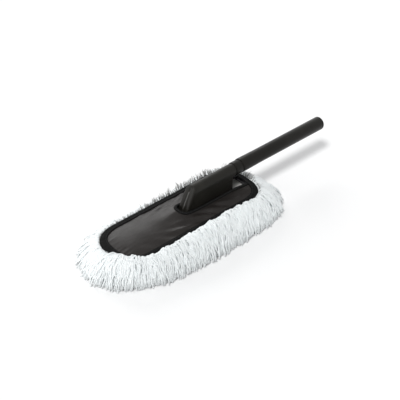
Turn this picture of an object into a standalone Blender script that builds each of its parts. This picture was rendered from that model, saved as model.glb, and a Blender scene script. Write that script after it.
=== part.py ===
"""A car duster: an oval mop head of white cotton yarn, drawn like a pocket over a plastic frame, with a slanted
neck and a telescopic handle that a twist locks. Metres, +Z up. The head's front points to -X and the grip to
+X, the duster stands on its yarn at Z = 0, and the origin is under the middle of the whole duster."""

import math

import bmesh
import bpy
import numpy as np

# Shared fits
CLEARANCE = 0.0003
OVERRUN = 0.004
MERGE = 0.00001
SHARP_ANGLE = math.radians(32)
TURN_STEPS = 24
CORNER_STEPS = 2
ROD_SIDES = 16
FINE_STEPS = 40
EDGE_TURNS = np.radians((0, 45, 90))

# Head outline, seen from above: two straight sides joined by full, slightly squared ends
COVER_LENGTH = 0.350
COVER_WIDTH = 0.124
END_FULLNESS = 2.5
RIM_RADIUS = COVER_WIDTH / 2
SPINE_HALF = COVER_LENGTH / 2 - RIM_RADIUS
END_FIRST_TURN = math.radians(8)

# Heights above the floor
RIM_HEIGHT = 0.046
AXIS_ABOVE_RIM = 0.044
AXIS_HEIGHT = RIM_HEIGHT + AXIS_ABOVE_RIM

# Cloth pocket
COVER_CROWN = 0.008
COVER_THICKNESS = 0.0012
BACKING_DIP = 0.008
BACKING_THICKNESS = 0.0016
SHEET_ACROSS = 10
SHEET_END_STEPS = 9
SHEET_SPINE_STEPS = 3

# Tape bindings
TAPE_THICKNESS = 0.0012
BINDING_WIDTH = 0.013
BINDING_QUARTER_STEPS = 9
BINDING_SIDE_STEPS = 4
POCKET_INSET = TAPE_THICKNESS + 2 * CLEARANCE
SLOT_TAPE_WIDTH = 0.006
SLOT_END_GAP = 0.001

# Neck: slanted front, flat sides, round top that runs on as a socket
NECK_RADIUS = 0.0125
NECK_TOE_X = 0.001
NECK_SLOPE = math.radians(64)
NECK_FIN_END_X = 0.122
NECK_FIN_ROUND = 0.003
NECK_END_X = 0.1324
NECK_EDGE_ROUND = 0.0025
NECK_WALL = 0.0025
NECK_SHELF = 0.002
SOCKET_START_X = 0.050
NECK_TURN_STEPS = 6

# Slot in the cover for the neck
SLOT_EASE = 0.0012
SLOT_HALF = NECK_RADIUS + SLOT_EASE
SLOT_NOSE_REACH = 0.007
SLOT_NOSE_X = NECK_TOE_X - SLOT_NOSE_REACH
SLOT_CORNER = 0.009
SLOT_CORNER_STEPS = 4
SLOT_END_STEPS = 4

# Frame plate inside the pocket
PLATE_INSET = 0.009
PLATE_THICKNESS = 0.0025
PLATE_RIB_INSET = 0.0115
PLATE_RIB_WIDTH = 0.0025
WINDOW_LENGTH = 0.030
WINDOW_WIDTH = 0.056
WINDOW_SPACING = 0.040
WINDOW_CORNER = 0.006
FRONT_WINDOWS = 3
FRONT_WINDOW_GAP = 0.014
REAR_WINDOW_LEAD = 0.004
REAR_WINDOW_LENGTH = 0.038
REAR_WINDOW_WIDTH = 0.050
KEEL_THICKNESS = 0.004
KEEL_HEIGHT = 0.020
KEEL_END_GAP = 0.004

# Screws through the neck and the keel
SCREW_SHANK_RADIUS = 0.00175
SCREW_HEAD_RADIUS = 0.0035
SCREW_CROWN_RADIUS = 0.0028
SCREW_HEAD_HEIGHT = 0.0024
SCREW_HEAD_SINK = 0.0004
SCREW_POINT = 0.003
SCREW_TIP_RADIUS = 0.0006
SCREW_WEB = 0.0016
SCREW_HEIGHT = 0.011
SCREW_RECESS_DEPTH = 0.0014
SCREW_RECESS_WIDTH = 0.0010
SCREW_RECESS_SPAN = 0.0038
SCREW_PLACE_SHARES = {"front": 0.17, "middle": 0.52, "rear": 0.89}
BOSS_RADIUS = 0.0054

# Telescopic tubes
INNER_RADIUS = 0.009
INNER_WALL = 0.001
PIN_RADIUS = 0.002
PIN_X = 0.100
PIN_SKIN = 0.0014
HANDLE_RADIUS = 0.014
HANDLE_WALL = 0.002
HANDLE_MOUTH_RADIUS = 0.0146
HANDLE_MOUTH_LENGTH = 0.055
HANDLE_LENGTH = 0.2216
EDGE_BREAK = 0.0006

# Guide bush in the handle's mouth, with a collar between the neck and the handle
BUSH_LIP_LENGTH = 0.0177
BUSH_LIP_RADIUS = 0.0136
BUSH_SHANK_LENGTH = 0.020

# Twist lock on the inner tube's end
PLUG_LENGTH = 0.018
PLUG_FLANGE = 0.0027
STUD_RADIUS = 0.003
STUD_LENGTH = 0.026
LOCK_END_GAP = 0.0033
SLEEVE_LENGTH = 0.016
SLEEVE_SMALL_BORE = 0.0042
SLEEVE_LARGE_BORE = 0.0098
SLEEVE_SLIT = 0.002
WEDGE_START = 0.005
WEDGE_END = 0.019
WEDGE_RIM = 0.002
WEDGE_TRAVEL = 0.00225
NUT_RADIUS = 0.0055
NUT_SIDES = 6

# Domed cap on the far end
CAP_SHANK_LENGTH = 0.010
CAP_WALL = 0.0017
CAP_HEIGHT = 0.006
CAP_FLAT_RADIUS = 0.0080
CAP_STEPS = 5

# Yarn: three rows round the rim, and a pile under the head
FRINGE_REACH = 0.050
FRINGE_RISE = 0.012
FRINGE_TOP = RIM_HEIGHT + FRINGE_RISE
FRINGE_TRIM = 0.006
FRINGE_LIFT = 0.004
FRINGE_UNEVEN = 0.006
FRINGE_COLUMN_GAP = 0.0002
BACKING_LIP = 0.003
BACKING_STRIP_INNER = 0.012
BACKING_STRIP_MIDDLE = 0.005
BACKING_STRIP_THICKNESS = 0.003
BACKING_STRIP_FACE = 0.0035
STRAND_THICKNESS = 0.005
QUARTER_COLUMNS = 13
SIDE_COLUMNS = 19
PILE_INSET = 0.0148
PILE_BACKING = 0.002
PILE_ACROSS = 4
PILE_END_STEPS = 6
PILE_SPINE_STEPS = 11
GOLDEN = (math.sqrt(5) - 1) / 2

# Each strand's rings, after the backing face that it grows from: the share of the reach outwards, the share of
# the fringe's height, the direction in degrees above the horizon, and the shares of the column's pitch and of
# a strand's thickness. The last ring is the tip, which is cut flat.
UPPER_ROW_SHARES = (
    (0.10, 0.83, 62, 0.92, 0.95),
    (0.31, 1.00, 0, 0.80, 1.15),
    (0.74, 0.66, -55, 0.62, 1.00),
    (1.00, 0.00, -90, 0.36, 0.76),
)
MIDDLE_ROW_SHARES = (
    (0.38, 0.56, -32, 0.78, 1.15),
    (0.74, 0.00, -90, 0.50, 0.90),
)
LOWER_ROW_SHARES = (
    (0.10, 0.34, -58, 0.80, 1.15),
    (0.36, 0.00, -90, 0.56, 0.95),
)
PILE_SHARES = ((0.62, 0.70), (0.00, 0.52))

# The whole duster is centred on the origin
PLATE_DROP = TAPE_THICKNESS + 2 * CLEARANCE
HANDLE_START_X = NECK_END_X + CLEARANCE + BUSH_LIP_LENGTH + CLEARANCE
HANDLE_END_X = HANDLE_START_X + HANDLE_LENGTH
STUD_END_X = HANDLE_END_X - CAP_SHANK_LENGTH - LOCK_END_GAP
INNER_END_X = STUD_END_X - STUD_LENGTH - PLUG_FLANGE - CLEARANCE
CAP_END_X = HANDLE_END_X + CLEARANCE + CAP_HEIGHT
FRINGE_FRONT_X = -(COVER_LENGTH / 2 + FRINGE_REACH)
HEAD_X = -(CAP_END_X + FRINGE_FRONT_X) / 2

FINISHES = {
    "cover_nylon": ((0.075, 0.070, 0.069), 0.55, 0.0),
    "binding_tape": ((0.012, 0.012, 0.013), 0.85, 0.0),
    "backing_cotton": ((0.72, 0.71, 0.68), 0.95, 0.0),
    "yarn_cotton": ((0.86, 0.88, 0.89), 0.95, 0.0),
    "frame_plastic": ((0.030, 0.030, 0.032), 0.50, 0.0),
    "neck_plastic": ((0.020, 0.020, 0.019), 0.45, 0.0),
    "handle_plastic": ((0.022, 0.021, 0.019), 0.42, 0.0),
    "tube_aluminium": ((0.62, 0.63, 0.65), 0.30, 1.0),
    "lock_plastic": ((0.55, 0.55, 0.53), 0.50, 0.0),
    "screw_steel": ((0.45, 0.46, 0.48), 0.32, 1.0),
}


def make_materials():
    made = {}
    for name, (colour, roughness, metallic) in FINISHES.items():
        material = bpy.data.materials.new(name)
        material.use_nodes = True
        shader = material.node_tree.nodes["Principled BSDF"]
        shader.inputs["Base Color"].default_value = (*colour, 1.0)
        shader.inputs["Roughness"].default_value = roughness
        shader.inputs["Metallic"].default_value = metallic
        made[name] = material
    return made


def make_empty(name, parent, location):
    empty = bpy.data.objects.new(name, None)
    bpy.context.scene.collection.objects.link(empty)
    empty.parent = parent
    empty.location = location
    return empty


def make_object(name, bm, parent, material=None, location=(0, 0, 0)):
    """Turns a bmesh into an object with its faces outwards. Without a material it is a cutter."""
    bmesh.ops.recalc_face_normals(bm, faces=bm.faces)
    mesh = bpy.data.meshes.new(name)
    bm.to_mesh(mesh)
    bm.free()
    obj = bpy.data.objects.new(name, mesh)
    bpy.context.scene.collection.objects.link(obj)
    obj.parent = parent
    obj.location = location
    if material:
        mesh.materials.append(material)
    else:
        obj.hide_render = True
        obj.display_type = "WIRE"
    return obj


def smooth(obj):
    obj.data.shade_smooth()
    obj.data.set_sharp_from_angle(angle=SHARP_ANGLE)
    return obj


def combine(obj, other, operation="DIFFERENCE"):
    modifier = obj.modifiers.new(other.name, "BOOLEAN")
    modifier.operation = operation
    modifier.object = other


def skin(bm, rings, closed=False):
    """Joins rings of equal length with quads and returns those faces by row. Open lofts get end caps."""
    loops = [[bm.verts.new(point) for point in ring] for ring in rings]
    pairs = list(zip(loops, loops[1:]))
    if closed:
        pairs.append((loops[-1], loops[0]))
    else:
        bm.faces.new(loops[0][::-1])
        bm.faces.new(loops[-1])
    rows = []
    for first, second in pairs:
        count = len(first)
        row = []
        for i in range(count):
            j = (i + 1) % count
            row.append(bm.faces.new((first[i], first[j], second[j], second[i])))
        rows.append(row)
    return rows


def turned(name, profile, parent, material=None, steps=TURN_STEPS):
    """A piece turned about X from (x, radius) pairs: bored if the profile stays off the axis, else solid."""
    bm = bmesh.new()
    verts = [bm.verts.new((x, 0, radius)) for x, radius in profile]
    edges = [bm.edges.new(pair) for pair in zip(verts, verts[1:])]
    if profile[0][1] > 0:
        edges.append(bm.edges.new((verts[-1], verts[0])))
    bmesh.ops.spin(
        bm,
        geom=verts + edges,
        cent=(0, 0, 0),
        axis=(1, 0, 0),
        angle=2 * math.pi,
        steps=steps,
        use_merge=True,
    )
    bmesh.ops.remove_doubles(bm, verts=bm.verts, dist=MERGE)
    return smooth(make_object(name, bm, parent, material))


def prism(bm, points, shift):
    """A closed prism on a flat outline of points, drawn out along shift."""
    face = bm.faces.new([bm.verts.new(point) for point in points])
    moved = bmesh.ops.extrude_face_region(bm, geom=[face], use_keep_orig=True)["geom"]
    bmesh.ops.translate(bm, verts=[v for v in moved if isinstance(v, bmesh.types.BMVert)], vec=shift)


def rounded_box(centre_x, centre_y, length, width, corner, height):
    """Plan points of a rectangle with round corners."""
    points = []
    for quarter in range(4):
        side_x = 1 if quarter in (0, 3) else -1
        side_y = 1 if quarter < 2 else -1
        for step in range(CORNER_STEPS + 1):
            turn = math.pi / 2 * (quarter + step / CORNER_STEPS)
            x = centre_x + side_x * (length / 2 - corner) + corner * math.cos(turn)
            y = centre_y + side_y * (width / 2 - corner) + corner * math.sin(turn)
            points.append((x, y, height))
    return points


def rim_share(x, y):
    """How far out a plan point lies: 0 on the head's spine and 1 on the rim."""
    along = max(abs(x) - SPINE_HALF, 0)
    powers = along**END_FULLNESS + abs(y) ** END_FULLNESS
    return min(powers ** (1 / END_FULLNESS) / RIM_RADIUS, 1)


def cover_top(x, y):
    return RIM_HEIGHT + COVER_CROWN * (1 - rim_share(x, y) ** 2)


def cover_under(x, y):
    return cover_top(x, y) - COVER_THICKNESS


def backing_top(x, y):
    dip = BACKING_DIP * (1 - rim_share(x, y) ** 2)
    return RIM_HEIGHT - COVER_THICKNESS - CLEARANCE - dip


def backing_under(x, y):
    return backing_top(x, y) - BACKING_THICKNESS


def plate_top(x, y):
    return cover_under(x, y) - PLATE_DROP


def plate_under(x, y):
    return plate_top(x, y) - PLATE_THICKNESS


def strip_top(x, y):
    """The yarn's backing strip lies just under the rim binding."""
    return backing_under(x, y) - CLEARANCE - TAPE_THICKNESS - CLEARANCE


def end_curve(turn, radius):
    """A point of the rear end's outline, from the tip at turn 0 to the straight side at a right angle."""
    power = 2 / END_FULLNESS
    return SPINE_HALF + radius * math.cos(turn) ** power, radius * math.sin(turn) ** power


def outline_stations(inset, end_steps, spine_steps):
    """Pairs of x and half width from the head's front to its rear, with the outline drawn in by inset."""
    radius = RIM_RADIUS - inset
    turns = np.linspace(END_FIRST_TURN, math.pi / 2, end_steps)
    rear = [end_curve(min(turn, math.pi / 2), radius) for turn in turns]
    rear[-1] = (SPINE_HALF, radius)
    front = [(-x, half) for x, half in rear]
    middle = [(x, radius) for x in np.linspace(-SPINE_HALF, SPINE_HALF, spine_steps + 1)[1:-1]]
    return front + middle + rear[::-1]


def sheet_rings(inset, top, under, across, end_steps=SHEET_END_STEPS, spine_steps=SHEET_SPINE_STEPS):
    """Cross-section rings of a shell that fills the outline between two height functions."""
    rings = []
    for x, half in outline_stations(inset, end_steps, spine_steps):
        sides = np.linspace(-half, half, across + 1)
        upper = [(x, y, top(x, y)) for y in sides]
        lower = [(x, y, under(x, y)) for y in sides[::-1]]
        rings.append(upper + lower)
    return rings


def quarter_frames(steps):
    """Points and outward normals of the outline's rear left quarter, evenly spaced along the curve."""
    turns = np.linspace(0, math.pi / 2, FINE_STEPS * steps)
    power = 2 / END_FULLNESS
    cosines = np.maximum(np.cos(turns), 0)
    sines = np.sin(turns)
    xs = SPINE_HALF + RIM_RADIUS * cosines**power
    ys = RIM_RADIUS * sines**power
    lengths = np.concatenate([[0], np.cumsum(np.hypot(np.diff(xs), np.diff(ys)))])
    even = np.interp(np.linspace(0, lengths[-1], steps + 1), lengths, turns)
    frames = []
    for turn in even:
        cosine = max(math.cos(turn), 0)
        sine = math.sin(turn)
        normal = (cosine ** (2 - power), sine ** (2 - power))
        size = math.hypot(*normal)
        x = SPINE_HALF + RIM_RADIUS * cosine**power
        y = RIM_RADIUS * sine**power
        frames.append((x, y, normal[0] / size, normal[1] / size))
    return frames


def rim_stretches(quarter_steps, side_steps):
    """The rim in six stretches, counter-clockwise from the rear tip, as lists of (x, y, normal x, normal y)."""
    quarter = quarter_frames(quarter_steps)
    back = quarter[::-1]
    side = np.linspace(SPINE_HALF, -SPINE_HALF, side_steps + 1)
    return {
        "rear_left": quarter,
        "side_left": [(x, RIM_RADIUS, 0, 1) for x in side],
        "front_left": [(-x, y, -nx, ny) for x, y, nx, ny in back],
        "front_right": [(-x, -y, -nx, -ny) for x, y, nx, ny in quarter],
        "side_right": [(-x, -RIM_RADIUS, 0, -1) for x in side],
        "rear_right": [(x, -y, nx, -ny) for x, y, nx, ny in back],
    }


def offset_point(frame, out):
    x, y, nx, ny = frame
    return x + nx * out, y + ny * out


def profile_ring(frame, profile):
    """A cross-section ring at a frame: profile gives an offset outwards, a height function and a rise."""
    ring = []
    for out, height, rise in profile:
        x, y = offset_point(frame, out)
        ring.append((x, y, height(x, y) + rise))
    return ring


def grow_strand(bm, face, rings):
    """Draws one face of the backing out through rings of four corners, so that the strand is one with it."""
    for ring in rings:
        face = bmesh.ops.extrude_discrete_faces(bm, faces=[face])["faces"][0]
        for vert, corner in zip(face.verts, ring):
            vert.co = corner


def make_cover(parent, materials):
    bm = bmesh.new()
    skin(bm, sheet_rings(POCKET_INSET, cover_top, cover_under, SHEET_ACROSS))
    cover = smooth(make_object("cover_cloth", bm, parent, materials["cover_nylon"]))

    bm = bmesh.new()
    floor = RIM_HEIGHT - COVER_THICKNESS - OVERRUN
    edge = TAPE_THICKNESS + CLEARANCE
    points = [(*offset_point(frame, edge), floor) for frame in slot_frames(COVER_LENGTH / 2 + OVERRUN)]
    prism(bm, points, (0, 0, COVER_CROWN + COVER_THICKNESS + 2 * OVERRUN))
    combine(cover, make_object("slot_cutter", bm, parent))


def make_backing(parent, materials):
    bm = bmesh.new()
    skin(bm, sheet_rings(POCKET_INSET, backing_top, backing_under, SHEET_ACROSS))
    smooth(make_object("backing_cloth", bm, parent, materials["backing_cotton"]))


def make_rim_binding(parent, materials):
    """Tape folded over the rim: a top leg on the cover, the fold, and a bottom leg under the backing."""
    over = CLEARANCE + TAPE_THICKNESS
    profile = (
        (-TAPE_THICKNESS, cover_top, CLEARANCE),
        (-BINDING_WIDTH, cover_top, CLEARANCE),
        (-BINDING_WIDTH, cover_top, over),
        (-TAPE_THICKNESS, cover_top, over),
        (0, cover_top, 0),
        (0, backing_under, 0),
        (-TAPE_THICKNESS, backing_under, -over),
        (-BINDING_WIDTH, backing_under, -over),
        (-BINDING_WIDTH, backing_under, -CLEARANCE),
        (-TAPE_THICKNESS, backing_under, -CLEARANCE),
    )
    rings = []
    for frames in rim_stretches(BINDING_QUARTER_STEPS, BINDING_SIDE_STEPS).values():
        rings += [profile_ring(frame, profile) for frame in frames[:-1]]
    bm = bmesh.new()
    skin(bm, rings, closed=True)
    smooth(make_object("rim_binding", bm, parent, materials["binding_tape"]))


def slot_frames(end_x):
    """The slot's finished edge as frames whose normals point into the cloth, from its right rear end round
    the nose to its left rear end."""
    corner_x = SLOT_NOSE_X + SLOT_CORNER
    corner_y = SLOT_HALF - SLOT_CORNER
    stations = (*np.linspace(end_x, SPINE_HALF, SLOT_END_STEPS + 1), corner_x)
    right = [(x, -SLOT_HALF, 0, -1) for x in stations]
    nose = []
    for side in (-1, 1):
        arc = []
        for turn in np.linspace(0, math.pi / 2, SLOT_CORNER_STEPS + 1):
            nx = -math.sin(turn)
            ny = side * math.cos(turn)
            arc.append((corner_x + SLOT_CORNER * nx, side * corner_y + SLOT_CORNER * ny, nx, ny))
        nose += arc[1:] if side < 0 else arc[::-1]
    left = [(x, -y, nx, -ny) for x, y, nx, ny in right[::-1]]
    return right + nose[:-1] + left


def slot_tape_end():
    """Where the slot's tape stops, just short of the rim binding."""
    outer = SLOT_HALF + SLOT_TAPE_WIDTH
    along = RIM_RADIUS * (1 - (outer / RIM_RADIUS) ** END_FULLNESS) ** (1 / END_FULLNESS)
    return SPINE_HALF + along - BINDING_WIDTH - SLOT_END_GAP


def make_slot_binding(parent, materials):
    """Tape folded over the cover's cut edge round the slot."""
    over = CLEARANCE + TAPE_THICKNESS
    profile = (
        (0, cover_top, over),
        (SLOT_TAPE_WIDTH, cover_top, over),
        (SLOT_TAPE_WIDTH, cover_top, CLEARANCE),
        (TAPE_THICKNESS, cover_top, CLEARANCE),
        (TAPE_THICKNESS, cover_under, -CLEARANCE),
        (SLOT_TAPE_WIDTH, cover_under, -CLEARANCE),
        (SLOT_TAPE_WIDTH, cover_under, -over),
        (0, cover_under, -over),
    )
    bm = bmesh.new()
    skin(bm, [profile_ring(frame, profile) for frame in slot_frames(slot_tape_end())])
    smooth(make_object("slot_binding", bm, parent, materials["binding_tape"]))


def strand_rings(first, second, shares, wave):
    """Corner rings of one rim strand, which grows in the plane midway between two frames of the rim. The wave,
    from 0 to 1, shortens it, lowers its hump and lifts the tip of an upper one off the floor."""
    reach = FRINGE_REACH - FRINGE_TRIM * wave
    top = FRINGE_TOP - FRINGE_UNEVEN * wave
    lift = FRINGE_LIFT * wave if shares is UPPER_ROW_SHARES else 0
    middle = tuple((a + b) / 2 for a, b in zip(first, second))
    size = math.hypot(middle[2], middle[3])
    middle = (middle[0], middle[1], middle[2] / size, middle[3] / size)
    rings = []
    for index, (out_share, height_share, direction, width_share, thickness_share) in enumerate(shares):
        tip = index == len(shares) - 1
        half_thick = thickness_share * STRAND_THICKNESS / 2
        out = out_share * reach - (half_thick if tip else 0)
        height = height_share * top + (lift if tip else 0)
        edge_a = np.array(offset_point(first, out))
        edge_b = np.array(offset_point(second, out))
        along = (edge_b - edge_a) * width_share / 2
        cross = math.radians(direction + 90)
        ring = []
        for side, face in ((-1, 1), (-1, -1), (1, -1), (1, 1)):
            x, y = offset_point(middle, out + face * half_thick * math.cos(cross))
            z = height + face * half_thick * math.sin(cross)
            ring.append((x + side * along[0], y + side * along[1], z))
        rings.append(ring)
    return rings


def make_fringe(name, frames, parent, materials):
    """One stretch of the rim's yarn: a strip of backing with three rows of strands grown from its faces."""
    inner = -BACKING_STRIP_INNER
    middle = -BACKING_STRIP_MIDDLE
    profile = (
        (inner, strip_top, 0),
        (middle, strip_top, 0),
        (BACKING_LIP, strip_top, 0),
        (BACKING_LIP, strip_top, -BACKING_STRIP_FACE),
        (middle, strip_top, -BACKING_STRIP_THICKNESS),
        (inner, strip_top, -BACKING_STRIP_THICKNESS),
    )
    frames = list(frames)
    frames[0] = shift_frame(frames[0], frames[1])
    frames[-1] = shift_frame(frames[-1], frames[-2])
    bm = bmesh.new()
    rows = skin(bm, [profile_ring(frame, profile) for frame in frames])
    strand_rows = ((2, UPPER_ROW_SHARES), (3, MIDDLE_ROW_SHARES), (4, LOWER_ROW_SHARES))
    for column, faces in enumerate(rows):
        from_middle = min(column, len(rows) - 1 - column) if "side" in name else column
        if name in ("fringe_front_left", "fringe_rear_right"):
            from_middle = len(rows) - 1 - column
        for place, shares in strand_rows:
            wave = (1 - math.cos(2 * math.pi * GOLDEN * place * from_middle)) / 2
            rings = strand_rings(frames[column], frames[column + 1], shares, wave)
            grow_strand(bm, faces[place], rings)
    make_object(name, bm, parent, materials["yarn_cotton"])


def shift_frame(end, inside):
    """Draws a stretch's end frame in by half the gap to the next stretch."""
    step = math.hypot(inside[0] - end[0], inside[1] - end[1])
    share = FRINGE_COLUMN_GAP / step
    x = end[0] + share * (inside[0] - end[0])
    y = end[1] + share * (inside[1] - end[1])
    return (x, y, end[2], end[3])


def make_pile(parent, materials):
    """The yarn under the head: a slice of backing whose lower faces grow straight down to the floor."""

    def top(x, y):
        return backing_under(x, y) - 2 * CLEARANCE

    def under(x, y):
        return top(x, y) - PILE_BACKING

    bm = bmesh.new()
    rows = skin(bm, sheet_rings(PILE_INSET, top, under, PILE_ACROSS, PILE_END_STEPS, PILE_SPINE_STEPS))
    for faces in rows:
        for face in faces[PILE_ACROSS + 1 : 2 * PILE_ACROSS + 1]:
            corners = [vert.co.copy() for vert in face.verts]
            centre = sum(corners, corners[0] * 0) / len(corners)
            rings = []
            for height_share, size_share in PILE_SHARES:
                ring = [centre + (corner - centre) * size_share for corner in corners]
                rings.append([(point.x, point.y, height_share * centre.z) for point in ring])
            grow_strand(bm, face, rings)
    make_object("pile_under", bm, parent, materials["yarn_cotton"])


def neck_foot():
    return plate_top(0, 0) + CLEARANCE


def neck_front_x(height):
    """The slanted front face, at a height above the floor."""
    return NECK_TOE_X + (height - neck_foot()) / math.tan(NECK_SLOPE)


def neck_fin_ring(side, inset, place):
    """Half of the fin's outline on one side, drawn in by inset: round top, flat side, foot. place gives the
    x of a point from its height."""
    radius = NECK_RADIUS - inset
    part = CLEARANCE / 2
    first_turn = math.asin(part / radius)
    points = [(radius * math.sin(turn), AXIS_HEIGHT + radius * math.cos(turn))
              for turn in np.linspace(first_turn, math.pi / 2, NECK_TURN_STEPS + 1)]
    points += [(radius, z) for z in np.linspace(AXIS_HEIGHT, neck_foot(), NECK_TURN_STEPS - 1)[1:]]
    points += [(radius / 2, neck_foot()), (part, neck_foot())]
    return [(place(z), side * y, z) for y, z in points]


def neck_socket_ring(side, radius, x):
    """Half of a round outline, with as many points as the fin's."""
    part = CLEARANCE / 2
    first_turn = math.asin(part / radius)
    turns = np.linspace(first_turn, math.pi - first_turn, 2 * NECK_TURN_STEPS + 1)
    return [(x, side * radius * math.sin(turn), AXIS_HEIGHT + radius * math.cos(turn)) for turn in turns]


def screw_places():
    """Screw name to x, along the fin at one height above its foot."""
    start = NECK_TOE_X
    return {
        name: start + share * (NECK_FIN_END_X - start) for name, share in SCREW_PLACE_SHARES.items()
    }


def add_rod(bm, x, z, start_y, end_y, radius):
    """A cylinder along Y between two places."""
    turns = [2 * math.pi * (step + 0.5) / ROD_SIDES for step in range(ROD_SIDES)]
    points = [(x + radius * math.cos(turn), start_y, z + radius * math.sin(turn)) for turn in turns]
    prism(bm, points, (0, end_y - start_y, 0))


def make_neck_cutters(parent):
    """Cutters and bosses that the two neck halves and the frame's keel share."""
    screw_z = neck_foot() + SCREW_HEIGHT
    wall_y = NECK_RADIUS - NECK_WALL
    head_seat = NECK_RADIUS - SCREW_HEAD_SINK - SCREW_HEAD_HEIGHT
    hole = SCREW_SHANK_RADIUS + CLEARANCE
    tip_y = NECK_RADIUS - SCREW_WEB
    cutters = {}

    bm = bmesh.new()
    shelf_z = AXIS_HEIGHT - INNER_RADIUS - CLEARANCE - NECK_SHELF
    low_z = neck_foot() - OVERRUN
    slant = NECK_WALL / math.sin(NECK_SLOPE)
    rear_x = NECK_FIN_END_X - NECK_WALL
    outline = (
        (neck_front_x(low_z) + slant, low_z),
        (neck_front_x(shelf_z) + slant, shelf_z),
        (rear_x, shelf_z),
        (rear_x, low_z),
    )
    prism(bm, [(x, -wall_y, z) for x, z in outline], (0, 2 * wall_y, 0))
    cutters["cavity"] = make_object("neck_cavity_cutter", bm, parent)

    for side, name in ((1, "left"), (-1, "right")):
        bm = bmesh.new()
        start = side * (KEEL_THICKNESS / 2 + CLEARANCE)
        for x in screw_places().values():
            add_rod(bm, x, screw_z, start, side * (NECK_RADIUS - NECK_WALL / 2), BOSS_RADIUS)
        cutters[name] = make_object("screw_bosses_" + name, bm, parent)

    bm = bmesh.new()
    for x in screw_places().values():
        add_rod(bm, x, screw_z, -tip_y - CLEARANCE, NECK_RADIUS + OVERRUN, hole)
    cutters["screw_holes"] = make_object("screw_hole_cutter", bm, parent)

    bm = bmesh.new()
    for x in screw_places().values():
        seat = head_seat - CLEARANCE
        add_rod(bm, x, screw_z, seat, NECK_RADIUS + OVERRUN, SCREW_HEAD_RADIUS + CLEARANCE)
    cutters["screw_seats"] = make_object("screw_seat_cutter", bm, parent)

    bm = bmesh.new()
    pin_hole = NECK_RADIUS - PIN_SKIN + CLEARANCE
    add_rod(bm, PIN_X, AXIS_HEIGHT, -pin_hole, pin_hole, PIN_RADIUS + CLEARANCE)
    cutters["pin_hole"] = make_object("pin_hole_cutter", bm, parent)
    return cutters


def make_neck(parent, axis, materials, cutters):
    bore = INNER_RADIUS + CLEARANCE
    profile = (
        (SOCKET_START_X, 0),
        (SOCKET_START_X, bore),
        (NECK_END_X + OVERRUN, bore),
        (NECK_END_X + OVERRUN, 0),
    )
    cutters["socket"] = turned("socket_cutter", profile, axis)
    rear_x = NECK_FIN_END_X
    for side, name in ((1, "left"), (-1, "right")):
        rings = []
        for turn in EDGE_TURNS:
            inset = NECK_EDGE_ROUND * (1 - math.sin(turn))
            back = NECK_EDGE_ROUND * (1 - math.cos(turn))
            rings.append(neck_fin_ring(side, inset, lambda z, back=back: neck_front_x(z) + back))
        rings.append(neck_fin_ring(side, 0, lambda z: rear_x))
        rings.append(neck_socket_ring(side, NECK_RADIUS, rear_x + NECK_FIN_ROUND))
        rings.append(neck_socket_ring(side, NECK_RADIUS, NECK_END_X - EDGE_BREAK))
        rings.append(neck_socket_ring(side, NECK_RADIUS - EDGE_BREAK, NECK_END_X))
        bm = bmesh.new()
        skin(bm, rings)
        half = smooth(make_object("neck_" + name, bm, parent, materials["neck_plastic"]))
        combine(half, cutters["cavity"])
        combine(half, cutters[name], "UNION")
        combine(half, cutters["socket"])
        combine(half, cutters["screw_holes"])
        if side > 0:
            combine(half, cutters["screw_seats"])
        combine(half, cutters["pin_hole"])


def make_screws(parent, materials):
    """Pan-head screws with a cross recess, driven from the left side of the neck."""
    head_seat = NECK_RADIUS - SCREW_HEAD_SINK - SCREW_HEAD_HEIGHT
    length = head_seat + NECK_RADIUS - SCREW_WEB
    profile = (
        (-length, 0),
        (-length, SCREW_TIP_RADIUS),
        (SCREW_POINT - length, SCREW_SHANK_RADIUS),
        (0, SCREW_SHANK_RADIUS),
        (0, SCREW_HEAD_RADIUS),
        (SCREW_HEAD_HEIGHT / 2, SCREW_HEAD_RADIUS),
        (SCREW_HEAD_HEIGHT, SCREW_CROWN_RADIUS),
        (SCREW_HEAD_HEIGHT, 0),
    )
    span = SCREW_RECESS_SPAN / 2
    half = SCREW_RECESS_WIDTH / 2
    cross = ((half, half), (half, span), (-half, span), (-half, half), (-span, half), (-span, -half),
             (-half, -half), (-half, -span), (half, -span), (half, -half), (span, -half), (span, half))
    for name, x in screw_places().items():
        screw = turned("neck_screw_" + name, profile, parent, materials["screw_steel"], ROD_SIDES)
        screw.location = (x, head_seat, neck_foot() + SCREW_HEIGHT)
        screw.rotation_euler = (0, 0, math.pi / 2)
        bm = bmesh.new()
        base = SCREW_HEAD_HEIGHT - SCREW_RECESS_DEPTH
        prism(bm, [(base, y, z) for y, z in cross], (SCREW_RECESS_DEPTH + OVERRUN, 0, 0))
        combine(screw, make_object("recess_cutter_" + name, bm, screw))


def window_outlines():
    """Plan outlines of the frame plate's windows: three ahead of the neck, and a wide one that starts under the
    neck's rear edge and lies under the open end of the slot."""
    height = RIM_HEIGHT - OVERRUN
    outlines = []
    last_x = NECK_TOE_X - FRONT_WINDOW_GAP - WINDOW_LENGTH / 2
    for number in range(FRONT_WINDOWS):
        x = last_x - number * WINDOW_SPACING
        outlines.append(rounded_box(x, 0, WINDOW_LENGTH, WINDOW_WIDTH, WINDOW_CORNER, height))
    rear_x = NECK_FIN_END_X - REAR_WINDOW_LEAD + REAR_WINDOW_LENGTH / 2
    outlines.append(rounded_box(rear_x, 0, REAR_WINDOW_LENGTH, REAR_WINDOW_WIDTH, WINDOW_CORNER, height))
    return outlines


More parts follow.
